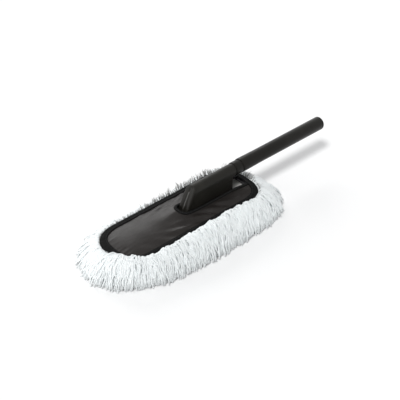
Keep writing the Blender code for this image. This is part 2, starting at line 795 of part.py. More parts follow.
def make_frame(parent, materials, cutters):
    """Domed plate with a rim rib that stands on the backing cloth, and an upright keel between the neck's
    halves."""
    bm = bmesh.new()
    skin(bm, sheet_rings(PLATE_INSET, plate_top, plate_under, SHEET_ACROSS))
    plate = make_object("frame_plate", bm, parent, materials["frame_plastic"])

    half_web = PLATE_THICKNESS / 2
    profile = (
        (-PLATE_RIB_INSET, plate_top, -half_web),
        (-PLATE_RIB_INSET - PLATE_RIB_WIDTH, plate_top, -half_web),
        (-PLATE_RIB_INSET - PLATE_RIB_WIDTH, backing_top, CLEARANCE),
        (-PLATE_RIB_INSET, backing_top, CLEARANCE),
    )
    rings = []
    for frames in rim_stretches(BINDING_QUARTER_STEPS, BINDING_SIDE_STEPS).values():
        rings += [profile_ring(frame, profile) for frame in frames[:-1]]
    bm = bmesh.new()
    skin(bm, rings, closed=True)
    combine(plate, make_object("plate_rib", bm, parent), "UNION")

    bm = bmesh.new()
    low_z = plate_top(0, 0) - half_web
    high_z = neck_foot() + KEEL_HEIGHT
    slant = NECK_WALL / math.sin(NECK_SLOPE) + KEEL_END_GAP
    rear_x = NECK_FIN_END_X - NECK_WALL - KEEL_END_GAP
    outline = (
        (neck_front_x(low_z) + slant, low_z),
        (neck_front_x(high_z) + slant, high_z),
        (rear_x, high_z),
        (rear_x, low_z),
    )
    prism(bm, [(x, -KEEL_THICKNESS / 2, z) for x, z in outline], (0, KEEL_THICKNESS, 0))
    combine(plate, make_object("plate_keel", bm, parent), "UNION")

    bm = bmesh.new()
    for outline in window_outlines():
        prism(bm, outline, (0, 0, COVER_CROWN + 2 * OVERRUN))
    combine(plate, make_object("window_cutter", bm, parent))
    combine(plate, cutters["screw_holes"])


def make_inner_tube(axis, materials, cutters):
    bore = INNER_RADIUS - INNER_WALL
    start = SOCKET_START_X + CLEARANCE
    profile = ((start, bore), (start, INNER_RADIUS), (INNER_END_X, INNER_RADIUS), (INNER_END_X, bore))
    tube = turned("inner_tube", profile, axis, materials["tube_aluminium"])
    combine(tube, cutters["pin_hole"])


def make_tube_pin(parent, materials):
    bm = bmesh.new()
    half = NECK_RADIUS - PIN_SKIN
    add_rod(bm, PIN_X, AXIS_HEIGHT, -half, half, PIN_RADIUS)
    smooth(make_object("tube_pin", bm, parent, materials["screw_steel"]))


def make_lock(axis, turning, wedging, materials):
    """The twist lock: a plug with a stud, a split sleeve that turns with the handle, a cone that climbs the
    stud's thread as it turns, and the nut that keeps both on."""
    bore = INNER_RADIUS - INNER_WALL - CLEARANCE
    flange_x = INNER_END_X + CLEARANCE
    stud_x = flange_x + PLUG_FLANGE
    profile = (
        (INNER_END_X - PLUG_LENGTH, 0),
        (INNER_END_X - PLUG_LENGTH, bore),
        (flange_x, bore),
        (flange_x, INNER_RADIUS),
        (stud_x, INNER_RADIUS),
        (stud_x, STUD_RADIUS),
        (STUD_END_X, STUD_RADIUS),
        (STUD_END_X, 0),
    )
    turned("lock_plug", profile, axis, materials["lock_plastic"])

    sleeve_radius = HANDLE_RADIUS - HANDLE_WALL - CLEARANCE
    sleeve_x = stud_x + CLEARANCE
    sleeve_end = sleeve_x + SLEEVE_LENGTH
    profile = (
        (sleeve_x, SLEEVE_SMALL_BORE),
        (sleeve_x, sleeve_radius - EDGE_BREAK),
        (sleeve_x + EDGE_BREAK, sleeve_radius),
        (sleeve_end, sleeve_radius),
        (sleeve_end, SLEEVE_LARGE_BORE),
    )
    sleeve = turned("lock_sleeve", profile, turning, materials["lock_plastic"])
    bm = bmesh.new()
    start_x = sleeve_x - OVERRUN
    points = ((start_x, -SLEEVE_SLIT / 2, 0), (start_x, SLEEVE_SLIT / 2, 0))
    points += ((start_x, SLEEVE_SLIT / 2, HANDLE_RADIUS), (start_x, -SLEEVE_SLIT / 2, HANDLE_RADIUS))
    prism(bm, points, (SLEEVE_LENGTH + 2 * OVERRUN, 0, 0))
    combine(sleeve, make_object("slit_cutter", bm, turning))

    slope = (SLEEVE_LARGE_BORE - SLEEVE_SMALL_BORE) / SLEEVE_LENGTH
    wedge_bore = STUD_RADIUS + CLEARANCE
    wedge_x = sleeve_x + WEDGE_START
    wedge_end = sleeve_x + WEDGE_END

    def cone_radius(x):
        return SLEEVE_SMALL_BORE + slope * (x - sleeve_x) - 2 * CLEARANCE

    shoulder_x = wedge_end - WEDGE_RIM
    profile = (
        (wedge_x, wedge_bore),
        (wedge_x, cone_radius(wedge_x)),
        (shoulder_x, cone_radius(shoulder_x)),
        (wedge_end, cone_radius(shoulder_x)),
        (wedge_end, wedge_bore),
    )
    turned("lock_wedge", profile, wedging, materials["lock_plastic"])

    nut_x = wedge_end + WEDGE_TRAVEL + CLEARANCE
    bm = bmesh.new()
    turns = [2 * math.pi * step / NUT_SIDES for step in range(NUT_SIDES)]
    points = [(nut_x, NUT_RADIUS * math.cos(turn), NUT_RADIUS * math.sin(turn)) for turn in turns]
    prism(bm, points, (STUD_END_X - EDGE_BREAK - nut_x, 0, 0))
    nut = make_object("stop_nut", bm, axis, materials["screw_steel"])
    nut_bore = STUD_RADIUS + CLEARANCE
    profile = ((nut_x - OVERRUN, 0), (nut_x - OVERRUN, nut_bore))
    profile += ((STUD_END_X + OVERRUN, nut_bore), (STUD_END_X + OVERRUN, 0))
    combine(nut, turned("nut_bore_cutter", profile, axis))


def make_handle(sliding, materials):
    bore = HANDLE_RADIUS - HANDLE_WALL
    start = HANDLE_START_X
    profile = (
        (start, bore),
        (start, HANDLE_MOUTH_RADIUS - EDGE_BREAK),
        (start + EDGE_BREAK, HANDLE_MOUTH_RADIUS),
        (start + HANDLE_MOUTH_LENGTH, HANDLE_RADIUS),
        (HANDLE_END_X, HANDLE_RADIUS),
        (HANDLE_END_X, bore),
    )
    turned("handle_tube", profile, sliding, materials["handle_plastic"])

    lip_x = NECK_END_X + CLEARANCE
    seat_x = HANDLE_START_X - CLEARANCE
    guide = INNER_RADIUS + CLEARANCE
    shank = bore - CLEARANCE
    profile = (
        (lip_x, guide),
        (lip_x, BUSH_LIP_RADIUS - EDGE_BREAK),
        (lip_x + EDGE_BREAK, BUSH_LIP_RADIUS),
        (seat_x, BUSH_LIP_RADIUS),
        (seat_x, shank),
        (seat_x + BUSH_SHANK_LENGTH, shank),
        (seat_x + BUSH_SHANK_LENGTH, guide),
    )
    turned("guide_bush", profile, sliding, materials["handle_plastic"])

    cap_x = HANDLE_END_X + CLEARANCE
    inside = shank - CAP_WALL
    dome = []
    for turn in np.linspace(0, math.pi / 2, CAP_STEPS + 1):
        radius = CAP_FLAT_RADIUS + (HANDLE_RADIUS - CAP_FLAT_RADIUS) * math.cos(turn)
        dome.append((cap_x + CAP_HEIGHT * math.sin(turn), radius))
    profile = [(cap_x, 0), (cap_x, inside), (HANDLE_END_X - CAP_SHANK_LENGTH, inside)]
    profile += [(HANDLE_END_X - CAP_SHANK_LENGTH, shank), (cap_x, shank), *dome, (CAP_END_X, 0)]
    turned("end_cap", profile, sliding, materials["handle_plastic"])


def main():
    for obj in list(bpy.data.objects):
        bpy.data.objects.remove(obj, do_unlink=True)
    materials = make_materials()
    head = make_empty("head", None, (HEAD_X, 0, 0))
    axis = make_empty("handle_axis", head, (0, 0, AXIS_HEIGHT))
    turning = make_empty("lock_turn", axis, (0, 0, 0))
    wedging = make_empty("wedge_travel", turning, (0, 0, 0))
    sliding = make_empty("handle_travel", turning, (0, 0, 0))

    make_cover(head, materials)
    make_backing(head, materials)
    make_rim_binding(head, materials)
    make_slot_binding(head, materials)
    for name, frames in rim_stretches(QUARTER_COLUMNS, SIDE_COLUMNS).items():
        make_fringe("fringe_" + name, frames, head, materials)
    make_pile(head, materials)

    cutters = make_neck_cutters(head)
    make_neck(head, axis, materials, cutters)
    make_frame(head, materials, cutters)
    make_screws(head, materials)
    make_inner_tube(axis, materials, cutters)
    make_tube_pin(head, materials)
    make_lock(axis, turning, wedging, materials)
    make_handle(sliding, materials)


main()
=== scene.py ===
"""A car duster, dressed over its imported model: cotton yarn, a cloth pocket with taped edges, a moulded neck
and a telescopic handle. Metres, +Z up, the head's front towards -X and the grip towards +X."""

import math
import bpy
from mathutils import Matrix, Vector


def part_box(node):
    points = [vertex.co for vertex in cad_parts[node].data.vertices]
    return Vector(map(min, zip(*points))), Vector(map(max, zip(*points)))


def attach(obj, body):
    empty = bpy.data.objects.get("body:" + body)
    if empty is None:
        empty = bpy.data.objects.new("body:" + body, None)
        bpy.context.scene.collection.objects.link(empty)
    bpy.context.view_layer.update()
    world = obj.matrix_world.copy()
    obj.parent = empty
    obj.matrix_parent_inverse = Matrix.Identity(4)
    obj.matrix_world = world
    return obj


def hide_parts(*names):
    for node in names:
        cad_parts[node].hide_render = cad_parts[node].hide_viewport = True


bl_info = {
    "name": "Car Duster",
    "version": (1, 0, 0),
    "blender": (4, 5, 0),
    "location": "View3D > Sidebar > Duster",
    "description": "Builds the yarn, cloths, neck and handle of a car duster over its packed model",
    "category": "Add Mesh",
}

import bpy
import numpy as np
from mathutils import Matrix, Vector

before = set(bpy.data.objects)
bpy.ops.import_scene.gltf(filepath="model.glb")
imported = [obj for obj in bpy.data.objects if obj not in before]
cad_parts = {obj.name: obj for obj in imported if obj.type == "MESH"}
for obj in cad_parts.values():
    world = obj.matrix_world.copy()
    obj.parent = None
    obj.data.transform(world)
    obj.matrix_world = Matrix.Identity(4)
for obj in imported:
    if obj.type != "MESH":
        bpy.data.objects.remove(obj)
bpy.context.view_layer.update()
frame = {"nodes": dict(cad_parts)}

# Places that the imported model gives
COVER_LOW, COVER_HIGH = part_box("cover_cloth")
NECK_LOW, NECK_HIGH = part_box("neck_left")
GRIP_LOW, GRIP_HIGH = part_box("handle_tube")
BUSH_LOW, BUSH_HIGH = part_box("guide_bush")
CAP_LOW, CAP_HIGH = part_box("end_cap")
TUBE_LOW, TUBE_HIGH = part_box("inner_tube")
HEAD_X = (COVER_LOW.x + COVER_HIGH.x) / 2
AXIS_HEIGHT = (GRIP_LOW.z + GRIP_HIGH.z) / 2

# The gap between two pieces, and between the strands and the floor
FIT = 0.0003

# How fine the curves are, and the angle past which an edge stays sharp
END_STEPS = 700
RIM_STEPS = 4000
SLOT_STEPS = 60
SHARP = math.radians(35)
TURN = 2 * math.pi
MILLIMETRE = 0.001

# Lengths that patterns run along: the slot's edge, a strand of the fringe, a strand of the pile and a hair
SLOT_LENGTH = 0.37
STRAND_LENGTH = 0.085
PILE_LENGTH = 0.04
HAIR_LENGTH = 0.03


def size(name, text, default):
    return bpy.props.FloatProperty(name=name, description=text, default=default, unit="LENGTH", precision=4)


def ratio(name, text, default):
    return bpy.props.FloatProperty(name=name, description=text, default=default)


def count(name, text, default):
    return bpy.props.IntProperty(name=name, description=text, default=default, min=1)


def colour(name, text, default):
    return bpy.props.FloatVectorProperty(
        name=name, description=text, default=default, subtype="COLOR", size=3, min=0, max=1
    )


class DusterHead(bpy.types.PropertyGroup):
    length: size("Cloth length", "Length of the cloth pocket", 0.350)
    width: size("Cloth width", "Width of the cloth pocket", 0.124)
    fullness: ratio("End fullness", "2 is a round end, more is squarer", 2.5)
    rim_height: size("Rim height", "Height of the rim above the floor", 0.046)
    crown: size("Cover crown", "How far the cover rises to its middle", 0.0095)
    nose_lift: size("Nose lift", "How far the neck's foot pushes the slot's nose up", 0.0060)
    dip: size("Backing dip", "How far the backing sinks to its middle", 0.008)
    cover: size("Cover thickness", "Thickness of the cover cloth", 0.0012)
    backing: size("Backing thickness", "Thickness of the backing cloth", 0.0016)
    tape: size("Tape thickness", "Thickness of the binding tape", 0.0012)
    binding: size("Binding width", "How far the rim's tape reaches in", 0.0142)
    slot_half: size("Slot half width", "Half the width of the slot for the neck", 0.0137)
    slot_nose: size("Slot nose", "How far the slot reaches ahead of the middle", 0.006)
    slot_corner: size("Slot corner", "Radius of the slot's front corners", 0.012)
    slot_tape: size("Slot tape width", "Width of the tape round the slot", 0.006)
    fold: size("Fold height", "Height of the folds in the cover", 0.0017)
    stitch: size("Stitch pitch", "Distance from stitch to stitch", 0.0034)


class DusterYarn(bpy.types.PropertyGroup):
    thickness: size("Yarn thickness", "Thickness of one strand", 0.0032)
    reach: size("Reach", "How far the longest strands reach out from the rim", 0.0500)
    top: size("Top", "Height of the strands' highest point where they are brushed up", 0.0575)
    low_top: size("Low top", "Height of the strands' highest point where they hang low", 0.0415)
    cover_over: size("Overlap", "How far inside the rim the brushed-up strands start", 0.0040)
    bunch: size("Bunch width", "Width of a bunch of strands along the rim", 0.0085)
    twist: size("Twist length", "Length of one turn of the yarn's plies", 0.0052)
    pile: size("Pile spacing", "Distance between the strands under the head", 0.0068)
    hairs: count("Loose hairs", "Number of fine hairs that stand off the yarn", 2000)
    seed: count("Seed", "Start of the random numbers", 11)


class DusterGrip(bpy.types.PropertyGroup):
    wall: size("Wall", "Wall of the grip's tube", 0.002)
    tube_wall: size("Inner tube wall", "Wall of the inner tube", 0.001)
    mouth: size("Mouth length", "Length over which the grip's mouth narrows", 0.055)
    edge: size("Edge", "Radius of the small edges", 0.0004)
    neck_round: size("Neck edge", "Radius of the neck's front edges", 0.0025)
    neck_slope: bpy.props.FloatProperty(
        name="Neck slope", description="Slope of the neck's front", default=math.radians(64), subtype="ANGLE"
    )
    fin_end: size("Fin end", "Where the neck's flat sides end, from the head's middle", 0.122)
    screw_height: size("Screw height", "Height of the screws above the neck's foot", 0.011)


class DusterFinish(bpy.types.PropertyGroup):
    cover: colour("Cover", "Colour of the nylon cover", (0.0145, 0.0121, 0.0110))
    tape: colour("Tape", "Colour of the binding tape", (0.006, 0.006, 0.006))
    backing: colour("Backing", "Colour of the cotton backing", (0.72, 0.71, 0.68))
    yarn: colour("Yarn", "Colour of the cotton yarn", (0.945, 0.975, 0.980))
    # The hairs' grey colour is painted shade, standing in for the shade between the white strands
    hair_shade: colour("Fray", "Colour of the yarn's frayed fibres", (0.56, 0.56, 0.55))
    plastic: colour("Plastic", "Colour of the neck and the grip", (0.0090, 0.0083, 0.0066))
    frame: colour("Frame", "Colour of the plate in the pocket", (0.030, 0.030, 0.032))
    lock: colour("Lock", "Colour of the lock's plastic", (0.55, 0.55, 0.53))
    tube: colour("Tube", "Colour of the aluminium tube", (0.62, 0.63, 0.65))
    steel: colour("Steel", "Colour of the screws", (0.45, 0.46, 0.48))


# Shader expressions
class Value:
    """An output socket. Python's operators on it add Math nodes."""

    def __init__(self, finish, socket):
        self.finish = finish
        self.socket = socket

    def maths(self, operation, *values):
        return self.finish.node("Math", {"operation": operation}, dict(enumerate(values)))

    def __add__(self, other):
        return self.maths("ADD", self, other)

    def __sub__(self, other):
        return self.maths("SUBTRACT", self, other)

    def __rsub__(self, other):
        return self.maths("SUBTRACT", other, self)

    def __mul__(self, other):
        return self.maths("MULTIPLY", self, other)

    __radd__ = __add__
    __rmul__ = __mul__

    def sine(self):
        return self.maths("SINE", self)

    def size(self):
        return self.maths("ABSOLUTE", self)

    def limit(self, low, high):
        return self.maths("MINIMUM", self.maths("MAXIMUM", self, low), high)


class Finish:
    """A material that is written as expressions."""

    def __init__(self, name, roughness, metallic=0.0, sheen=0.0, specular=0.5):
        self.material = bpy.data.materials.new(name)
        self.material.use_nodes = True
        self.tree = self.material.node_tree
        self.shader = self.tree.nodes["Principled BSDF"]
        self.shader.inputs["Roughness"].default_value = roughness
        self.shader.inputs["Metallic"].default_value = metallic
        self.shader.inputs["Sheen Weight"].default_value = sheen
        self.shader.inputs["Sheen Roughness"].default_value = 0.4
        self.shader.inputs["Specular IOR Level"].default_value = specular

    def node(self, kind, settings=None, inputs=None, output=0):
        made = self.tree.nodes.new("ShaderNode" + kind)
        for key, value in (settings or {}).items():
            setattr(made, key, value)
        for key, value in (inputs or {}).items():
            if isinstance(value, Value):
                self.tree.links.new(value.socket, made.inputs[key])
            else:
                made.inputs[key].default_value = value
        return Value(self, made.outputs[output])

    def place(self, source="Object"):
        return self.node("TexCoord", output=source)

    def stretched(self, place, scale):
        return self.node("Mapping", {}, {"Vector": place, "Scale": scale})

    def axes(self, place):
        split = self.node("SeparateXYZ", {}, {"Vector": place})
        return [Value(self, out) for out in split.socket.node.outputs]

    def noise(self, place, scale, detail=3.0, rough=0.55):
        inputs = {"Vector": place, "Scale": scale, "Detail": detail, "Roughness": rough}
        return self.node("TexNoise", {}, inputs)

    def attribute(self, name):
        return self.node("Attribute", {"attribute_name": name}, output="Fac")

    def blend(self, factor, first, second):
        """A colour that goes from first to second as factor goes from 0 to 1. A Mix node's sockets for
        colours come after those for numbers and vectors: inputs 6 and 7, and output 2."""
        made = self.node("Mix", {"data_type": "RGBA"}).socket.node
        self.tree.links.new(factor.socket, made.inputs["Factor"])
        made.inputs[6].default_value = (*first, 1)
        made.inputs[7].default_value = (*second, 1)
        return Value(self, made.outputs[2])

    def set(self, name, value):
        self.tree.links.new(value.socket, self.shader.inputs[name])

    def tint(self, factor, base, low, high):
        """Base Color from base times low to base times high, as factor goes from 0 to 1."""
        self.set("Base Color", self.blend(factor, tinted(base, low), tinted(base, high)))

    def bump(self, height, distance, strength=1.0):
        inputs = {"Height": height, "Distance": distance, "Strength": strength}
        self.set("Normal", self.node("Bump", {}, inputs, "Normal"))


def tinted(base, factor):
    return tuple(min(1.0, part * factor) for part in base)


def woven(finish, pitch):
    """Plain weave on the piece's UV in metres: threads pass over and under in turn, and are high where they
    cross over."""
    across, along, _ = finish.axes(finish.place("UV"))
    turn = math.pi / pitch
    warp = (across * turn).sine()
    weft = (along * turn).sine()
    return warp.size() * 0.5 + weft.size() * 0.5 + warp * weft * 0.25


def cover_finish(colours):
    """Woven nylon: a fine weave, cloudy gloss and long, shallow creases."""
    finish = Finish("cover_nylon_cloth", 0.34, sheen=0.09, specular=0.19)
    finish.shader.inputs["Sheen Tint"].default_value = (1.0, 0.94, 0.90, 1)
    weave = woven(finish, pitch=0.00042)
    cloud = finish.noise(finish.place("UV"), 38.0, 4.0)
    finish.tint(cloud, colours.cover, 0.82, 1.20)
    finish.set("Roughness", cloud * 0.16 + 0.25)
    creases = finish.noise(finish.stretched(finish.place("UV"), (60, 210, 1)), 1.0, 3.0)
    finish.bump(weave * 0.10 + creases * 0.9, 0.0006, 0.6)
    return finish.material


def tape_finish(colours):
    """Binding tape: ribs across the tape and fine fibres."""
    finish = Finish("binding_tape_cloth", 0.88, specular=0.12)
    along, _, _ = finish.axes(finish.place("UV"))
    rib_pitch = 0.0011
    ribs = (along * (TURN / rib_pitch)).sine()
    fibres = finish.noise(finish.place("UV"), 900.0, 3.0)
    finish.tint(fibres, colours.tape, 0.7, 1.5)
    finish.set("Roughness", fibres * 0.14 + 0.80)
    finish.bump(ribs * 0.35 + fibres * 0.5, 0.00025, 0.7)
    return finish.material


def backing_finish(colours):
    """Plain cotton: a coarse weave with slubs, the thick places of its threads."""
    finish = Finish("backing_cotton_cloth", 0.95, sheen=0.10, specular=0.2)
    weave = woven(finish, pitch=0.0008)
    slubs = finish.noise(finish.stretched(finish.place("UV"), (30, 420, 1)), 1.0, 3.0)
    finish.tint(slubs, colours.backing, 0.88, 1.06)
    finish.set("Roughness", slubs * 0.08 + 0.90)
    finish.bump(weave * 0.5 + slubs * 0.5, 0.0003, 0.6)
    return finish.material


def yarn_finish(colours):
    """Two plies wind round each strand: the height follows sin(2 around + along / twist) on its own UV."""
    finish = Finish("yarn_cotton_strands", 0.93, sheen=0.22, specular=0.2)
    around, along, _ = finish.axes(finish.place("UV"))
    twist = bpy.context.scene.duster_yarn.twist
    plies = (around * (2 * TURN) + along * (TURN / twist)).sine()
    fuzz = finish.noise(finish.place(), 1400.0, 3.0)
    tone = finish.attribute("tone") * 0.85 + plies * 0.05 + fuzz * 0.12
    finish.tint(tone.limit(0, 1), colours.yarn, 0.95, 1.01)
    finish.set("Roughness", fuzz * 0.08 + 0.88)
    finish.bump(plies * 0.7 + fuzz * 0.3, 0.0005, 0.3)
    return finish.material


def hair_shade_finish(colours):
    """Hair fibres whose grey is painted shade: dark at the roots and where the fringe hangs low, pale at the
    tips, as the tone of the points says.
    """
    finish = Finish("yarn_hairs_painted_shade", 0.95, sheen=0.10, specular=0.1)
    finish.tint(finish.attribute("tone"), colours.hair_shade, 0.36, 1.55)
    clumps = finish.noise(finish.place(), 900.0, 2.0)
    finish.set("Roughness", clumps * 0.06 + 0.90)
    return finish.material


def thread_finish(colours):
    """Sewing thread, a little paler than the tape."""
    finish = Finish("binding_thread", 0.70, sheen=0.05, specular=0.35)
    fibres = finish.noise(finish.place(), 2600.0, 2.0)
    finish.tint(fibres, colours.tape, 1.2, 2.6)
    finish.bump(fibres, 0.0001, 0.6)
    return finish.material


def moulded_finish(name, base, roughness, grain, streak=0.0, specular=0.45):
    """Moulded plastic: fine grain, a slow change of gloss, and paler patches of wear."""
    finish = Finish(name, roughness, specular=specular)
    place = finish.place()
    fine = finish.noise(place, grain, 2.0)
    slow = finish.noise(place, 42.0, 4.0)
    drawn = finish.noise(finish.stretched(place, (6, 700, 700)), 1.0, 2.0)
    wear = ((slow - 0.52) * 3.2).limit(0, 1)
    finish.tint(wear, base, 0.9, 1.55)
    finish.set("Roughness", slow * 0.18 + fine * 0.06 + (roughness - 0.12))
    finish.bump(fine * 0.7 + drawn * streak, 0.00010, 0.5)
    return finish.material


def tube_finish(colours):
    """Drawn aluminium: fine lines along the tube and a few rings where the lock has rubbed."""
    finish = Finish("drawn_aluminium", 0.30, metallic=1.0)
    place = finish.place()
    lines = finish.noise(finish.stretched(place, (9, 1500, 1500)), 1.0, 3.0)
    rings = finish.noise(finish.stretched(place, (700, 3, 3)), 1.0, 2.0)
    rubbed = ((rings - 0.58) * 6.0).limit(0, 1)
    finish.tint(lines, colours.tube, 0.90, 1.08)
    finish.set("Roughness", lines * 0.20 + rubbed * 0.16 + 0.20)
    finish.bump(lines, 0.00005, 0.5)
    return finish.material


def steel_finish(colours):
    """Zinc-plated steel with a fine spangle."""
    finish = Finish("zinc_plated_steel", 0.32, metallic=1.0)
    spangle = finish.noise(finish.place(), 650.0, 3.0)
    finish.tint(spangle, colours.steel, 0.80, 1.20)
    finish.set("Roughness", spangle * 0.25 + 0.20)
    finish.bump(spangle, 0.00006, 0.4)
    return finish.material


# Surfaces as arrays
def put_mesh(name, points, blocks, finish, uv=None, tone=None, flat=False):
    """Makes a piece of points, given from the head's middle, and blocks of three- or four-cornered faces."""
    points = np.array(points, float).reshape(-1, 3) + (HEAD_X, 0, 0)
    corners = np.concatenate([np.asarray(block).ravel() for block in blocks]).astype(np.int32)
    counts = np.concatenate([np.full(len(block), np.shape(block)[1]) for block in blocks])
    mesh = bpy.data.meshes.new(name)
    mesh.vertices.add(len(points))
    mesh.vertices.foreach_set("co", points.astype(np.float32).ravel())
    mesh.loops.add(len(corners))
    mesh.loops.foreach_set("vertex_index", corners)
    mesh.polygons.add(len(counts))
    mesh.polygons.foreach_set("loop_start", np.concatenate([[0], np.cumsum(counts)[:-1]]).astype(np.int32))
    mesh.update(calc_edges=True)
    mesh.polygons.foreach_set("use_smooth", np.full(len(counts), not flat))
    if uv is not None:
        layer = mesh.uv_layers.new(name="UVMap")
        layer.data.foreach_set("uv", np.asarray(uv, float).reshape(-1, 2)[corners].astype(np.float32).ravel())
    if tone is not None:
        layer = mesh.attributes.new("tone", "FLOAT", "POINT")
        layer.data.foreach_set("value", np.asarray(tone, float).astype(np.float32).ravel())
    mesh.materials.append(finish)
    piece = bpy.data.objects.new(name, mesh)
    bpy.context.scene.collection.objects.link(piece)
    return piece


def grid_faces(rows, columns, wrap_rows=False, wrap_columns=False):
    """Quads of a grid of points that is stored row by row."""
    row = np.arange(rows if wrap_rows else rows - 1)[:, None]
    column = np.arange(columns if wrap_columns else columns - 1)[None, :]
    next_row, next_column = (row + 1) % rows, (column + 1) % columns
    quads = [row * columns + column, row * columns + next_column]
    quads += [next_row * columns + next_column, next_row * columns + column]
    return np.stack([np.broadcast_to(quad, (row.size, column.size)) for quad in quads], -1).reshape(-1, 4)


def end_fans(rows, columns):
    """Triangles that close both ends of a sweep whose rings run round the columns."""
    step = np.arange(1, columns - 1)
    first = np.stack([np.zeros_like(step), step + 1, step], -1)
    last = np.stack([np.zeros_like(step), step, step + 1], -1) + (rows - 1) * columns
    return np.concatenate([first, last])


def tube_faces(count, steps, sides):
    """Blocks of faces of equal tubes with closed ends, stored one after the other."""
    starts = (np.arange(count) * steps * sides)[:, None, None]
    quads = grid_faces(steps, sides, False, True)[None] + starts
    fans = end_fans(steps, sides)[None] + starts
    return [quads.reshape(-1, 4), fans.reshape(-1, 3)]


def face_outwards(piece):
    """Turns a closed mesh's faces outwards, if its signed volume says that they point in."""
    mesh = piece.data
    mesh.calc_loop_triangles()
    points = np.empty(len(mesh.vertices) * 3, np.float32)
    mesh.vertices.foreach_get("co", points)
    points = points.reshape(-1, 3).astype(float)
    triangles = np.empty(len(mesh.loop_triangles) * 3, np.int32)
    mesh.loop_triangles.foreach_get("vertices", triangles)
    first, second, third = points[triangles.reshape(-1, 3)].transpose(1, 0, 2)
    if np.einsum("ij,ij->i", first, np.cross(second, third)).sum() < 0:
        mesh.flip_normals()
    return piece


def settle(piece):
    """Puts a piece's modifiers into its mesh."""
    graph = bpy.context.evaluated_depsgraph_get()
    mesh = bpy.data.meshes.new_from_object(piece.evaluated_get(graph))
    piece.modifiers.clear()
    piece.data = mesh
    return piece


def finish_piece(piece, body, slot, *nodes):
    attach(piece, body)
    if nodes:
        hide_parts(*nodes)
    return piece


def hump(values, middle, width):
    """A round hump, exp(-((v - middle) / width)^2): 1 at its middle, and nearly 0 from two widths away."""
    return np.exp(-(((values - middle) / width) ** 2))


def rim(head, places, inset=0.0):
    """The head's outline at shares of its length, counter-clockwise from the rear tip, with its outward
    normals. An end is x = spine + r cos(t)^p, y = r sin(t)^p with p = 2 / fullness, and straight sides join
    the ends."""
    radius = head.width / 2
    power = 2 / head.fullness
    turns = np.linspace(0, np.pi / 2, END_STEPS)
    cosine, sine = np.cos(turns).clip(0), np.sin(turns)
    x = head.length / 2 - radius + radius * cosine**power
    quarter = np.stack([x, radius * sine**power, cosine ** (2 - power), sine ** (2 - power)])
    half = np.concatenate([quarter, (quarter * [[-1], [1], [-1], [1]])[:, ::-1]], 1)
    loop = np.concatenate([half, -half], 1)
    steps = np.hypot(*np.diff(loop[:2], axis=1))
    along = np.concatenate([[0], np.cumsum(steps)])
    places = np.mod(places, 1.0) * along[-1]
    x, y, nx, ny = (np.interp(places, along, row) for row in loop)
    reach = np.hypot(nx, ny)
    nx, ny = nx / reach, ny / reach
    return x - nx * inset, y - ny * inset, nx, ny


def rim_length(head):
    """The outline's length, as the sum of many short steps."""
    x, y, _, _ = rim(head, np.linspace(0, 1, RIM_STEPS, endpoint=False))
    return float(np.hypot(x - np.roll(x, 1), y - np.roll(y, 1)).sum())


def rim_place(head, across):
    """The share of the outline, left of the rear tip, where it is this far from the middle line."""
    past_the_corner = 0.12
    places = np.linspace(0, past_the_corner, RIM_STEPS // 2)
    return float(np.interp(across, rim(head, places)[1], places))


def out_share(head, x, y):
    """How far out a plan point lies: 0 on the head's spine, 1 on the rim."""
    radius = head.width / 2
    along = np.maximum(np.abs(x) - (head.length / 2 - radius), 0)
    powers = along**head.fullness + np.abs(y) ** head.fullness
    return np.minimum(powers ** (1 / head.fullness) / radius, 1)


def cover_top(head, x, y):
    """The cover's height: a crown that falls to the rim as the way out to the power fall, and a bump round
    the slot's nose, exp(-(d / width)^2) of the distance d from it."""
    fall, width = 1.8, 0.024
    bump = head.nose_lift * np.exp(-((x + head.slot_nose) ** 2 + y**2) / width**2)
    return head.rim_height + head.crown * (1 - out_share(head, x, y) ** fall) + bump


def backing_top(head, x, y):
    """The height of the backing's upper face: a dish that rises to the rim as the way out squared."""
    return head.rim_height - head.cover - FIT - head.dip * (1 - out_share(head, x, y) ** 2)


def backing_under(head, x, y):
    """The height of the backing's lower face, one thickness further down."""
    return backing_top(head, x, y) - head.backing


def slot_edge(head, places, out=0.0, end_x=None):
    """The slot's edge, from its right rear end round the nose to its left rear end: straight sides, quarter
    circles at the corners and a straight nose. Its normals point into the cloth."""
    half, corner = head.slot_half, head.slot_corner
    middle_x = corner - head.slot_nose
    end_x = head.length / 2 if end_x is None else end_x
    turns = np.linspace(0, np.pi / 2, SLOT_STEPS)
    straight = np.linspace(end_x, middle_x, SLOT_STEPS)
    zero, one = np.zeros(SLOT_STEPS), np.ones(SLOT_STEPS)
    sine, cosine = np.sin(turns), np.cos(turns)
    right = np.stack([straight, -half * one, zero, -one])
    turn = np.stack([middle_x - corner * sine, -(half - corner) - corner * cosine, -sine, -cosine])
    mirror = [[1], [-1], [1], [-1]]
    path = np.concatenate([right, turn, (turn * mirror)[:, ::-1], (right * mirror)[:, ::-1]], 1)
    along = np.concatenate([[0], np.cumsum(np.hypot(*np.diff(path[:2], axis=1)))])
    x, y, nx, ny = (np.interp(np.asarray(places) * along[-1], along, row) for row in path)
    return x + nx * out, y + ny * out, nx, ny


def ripple(seed, values, pitch):
    """Smooth, repeatable unevenness between about -1 and 1: five sines whose lengths share no common step."""
    random = np.random.default_rng(seed)
    phases = random.uniform(0, TURN, 5)
    lengths = pitch * np.array([1.0, 0.618, 1.47, 0.414, 2.23])
    usual_peak = 3.2
    waves = (np.sin(TURN * values / length + phase) for length, phase in zip(lengths, phases))
    return sum(waves) / usual_peak


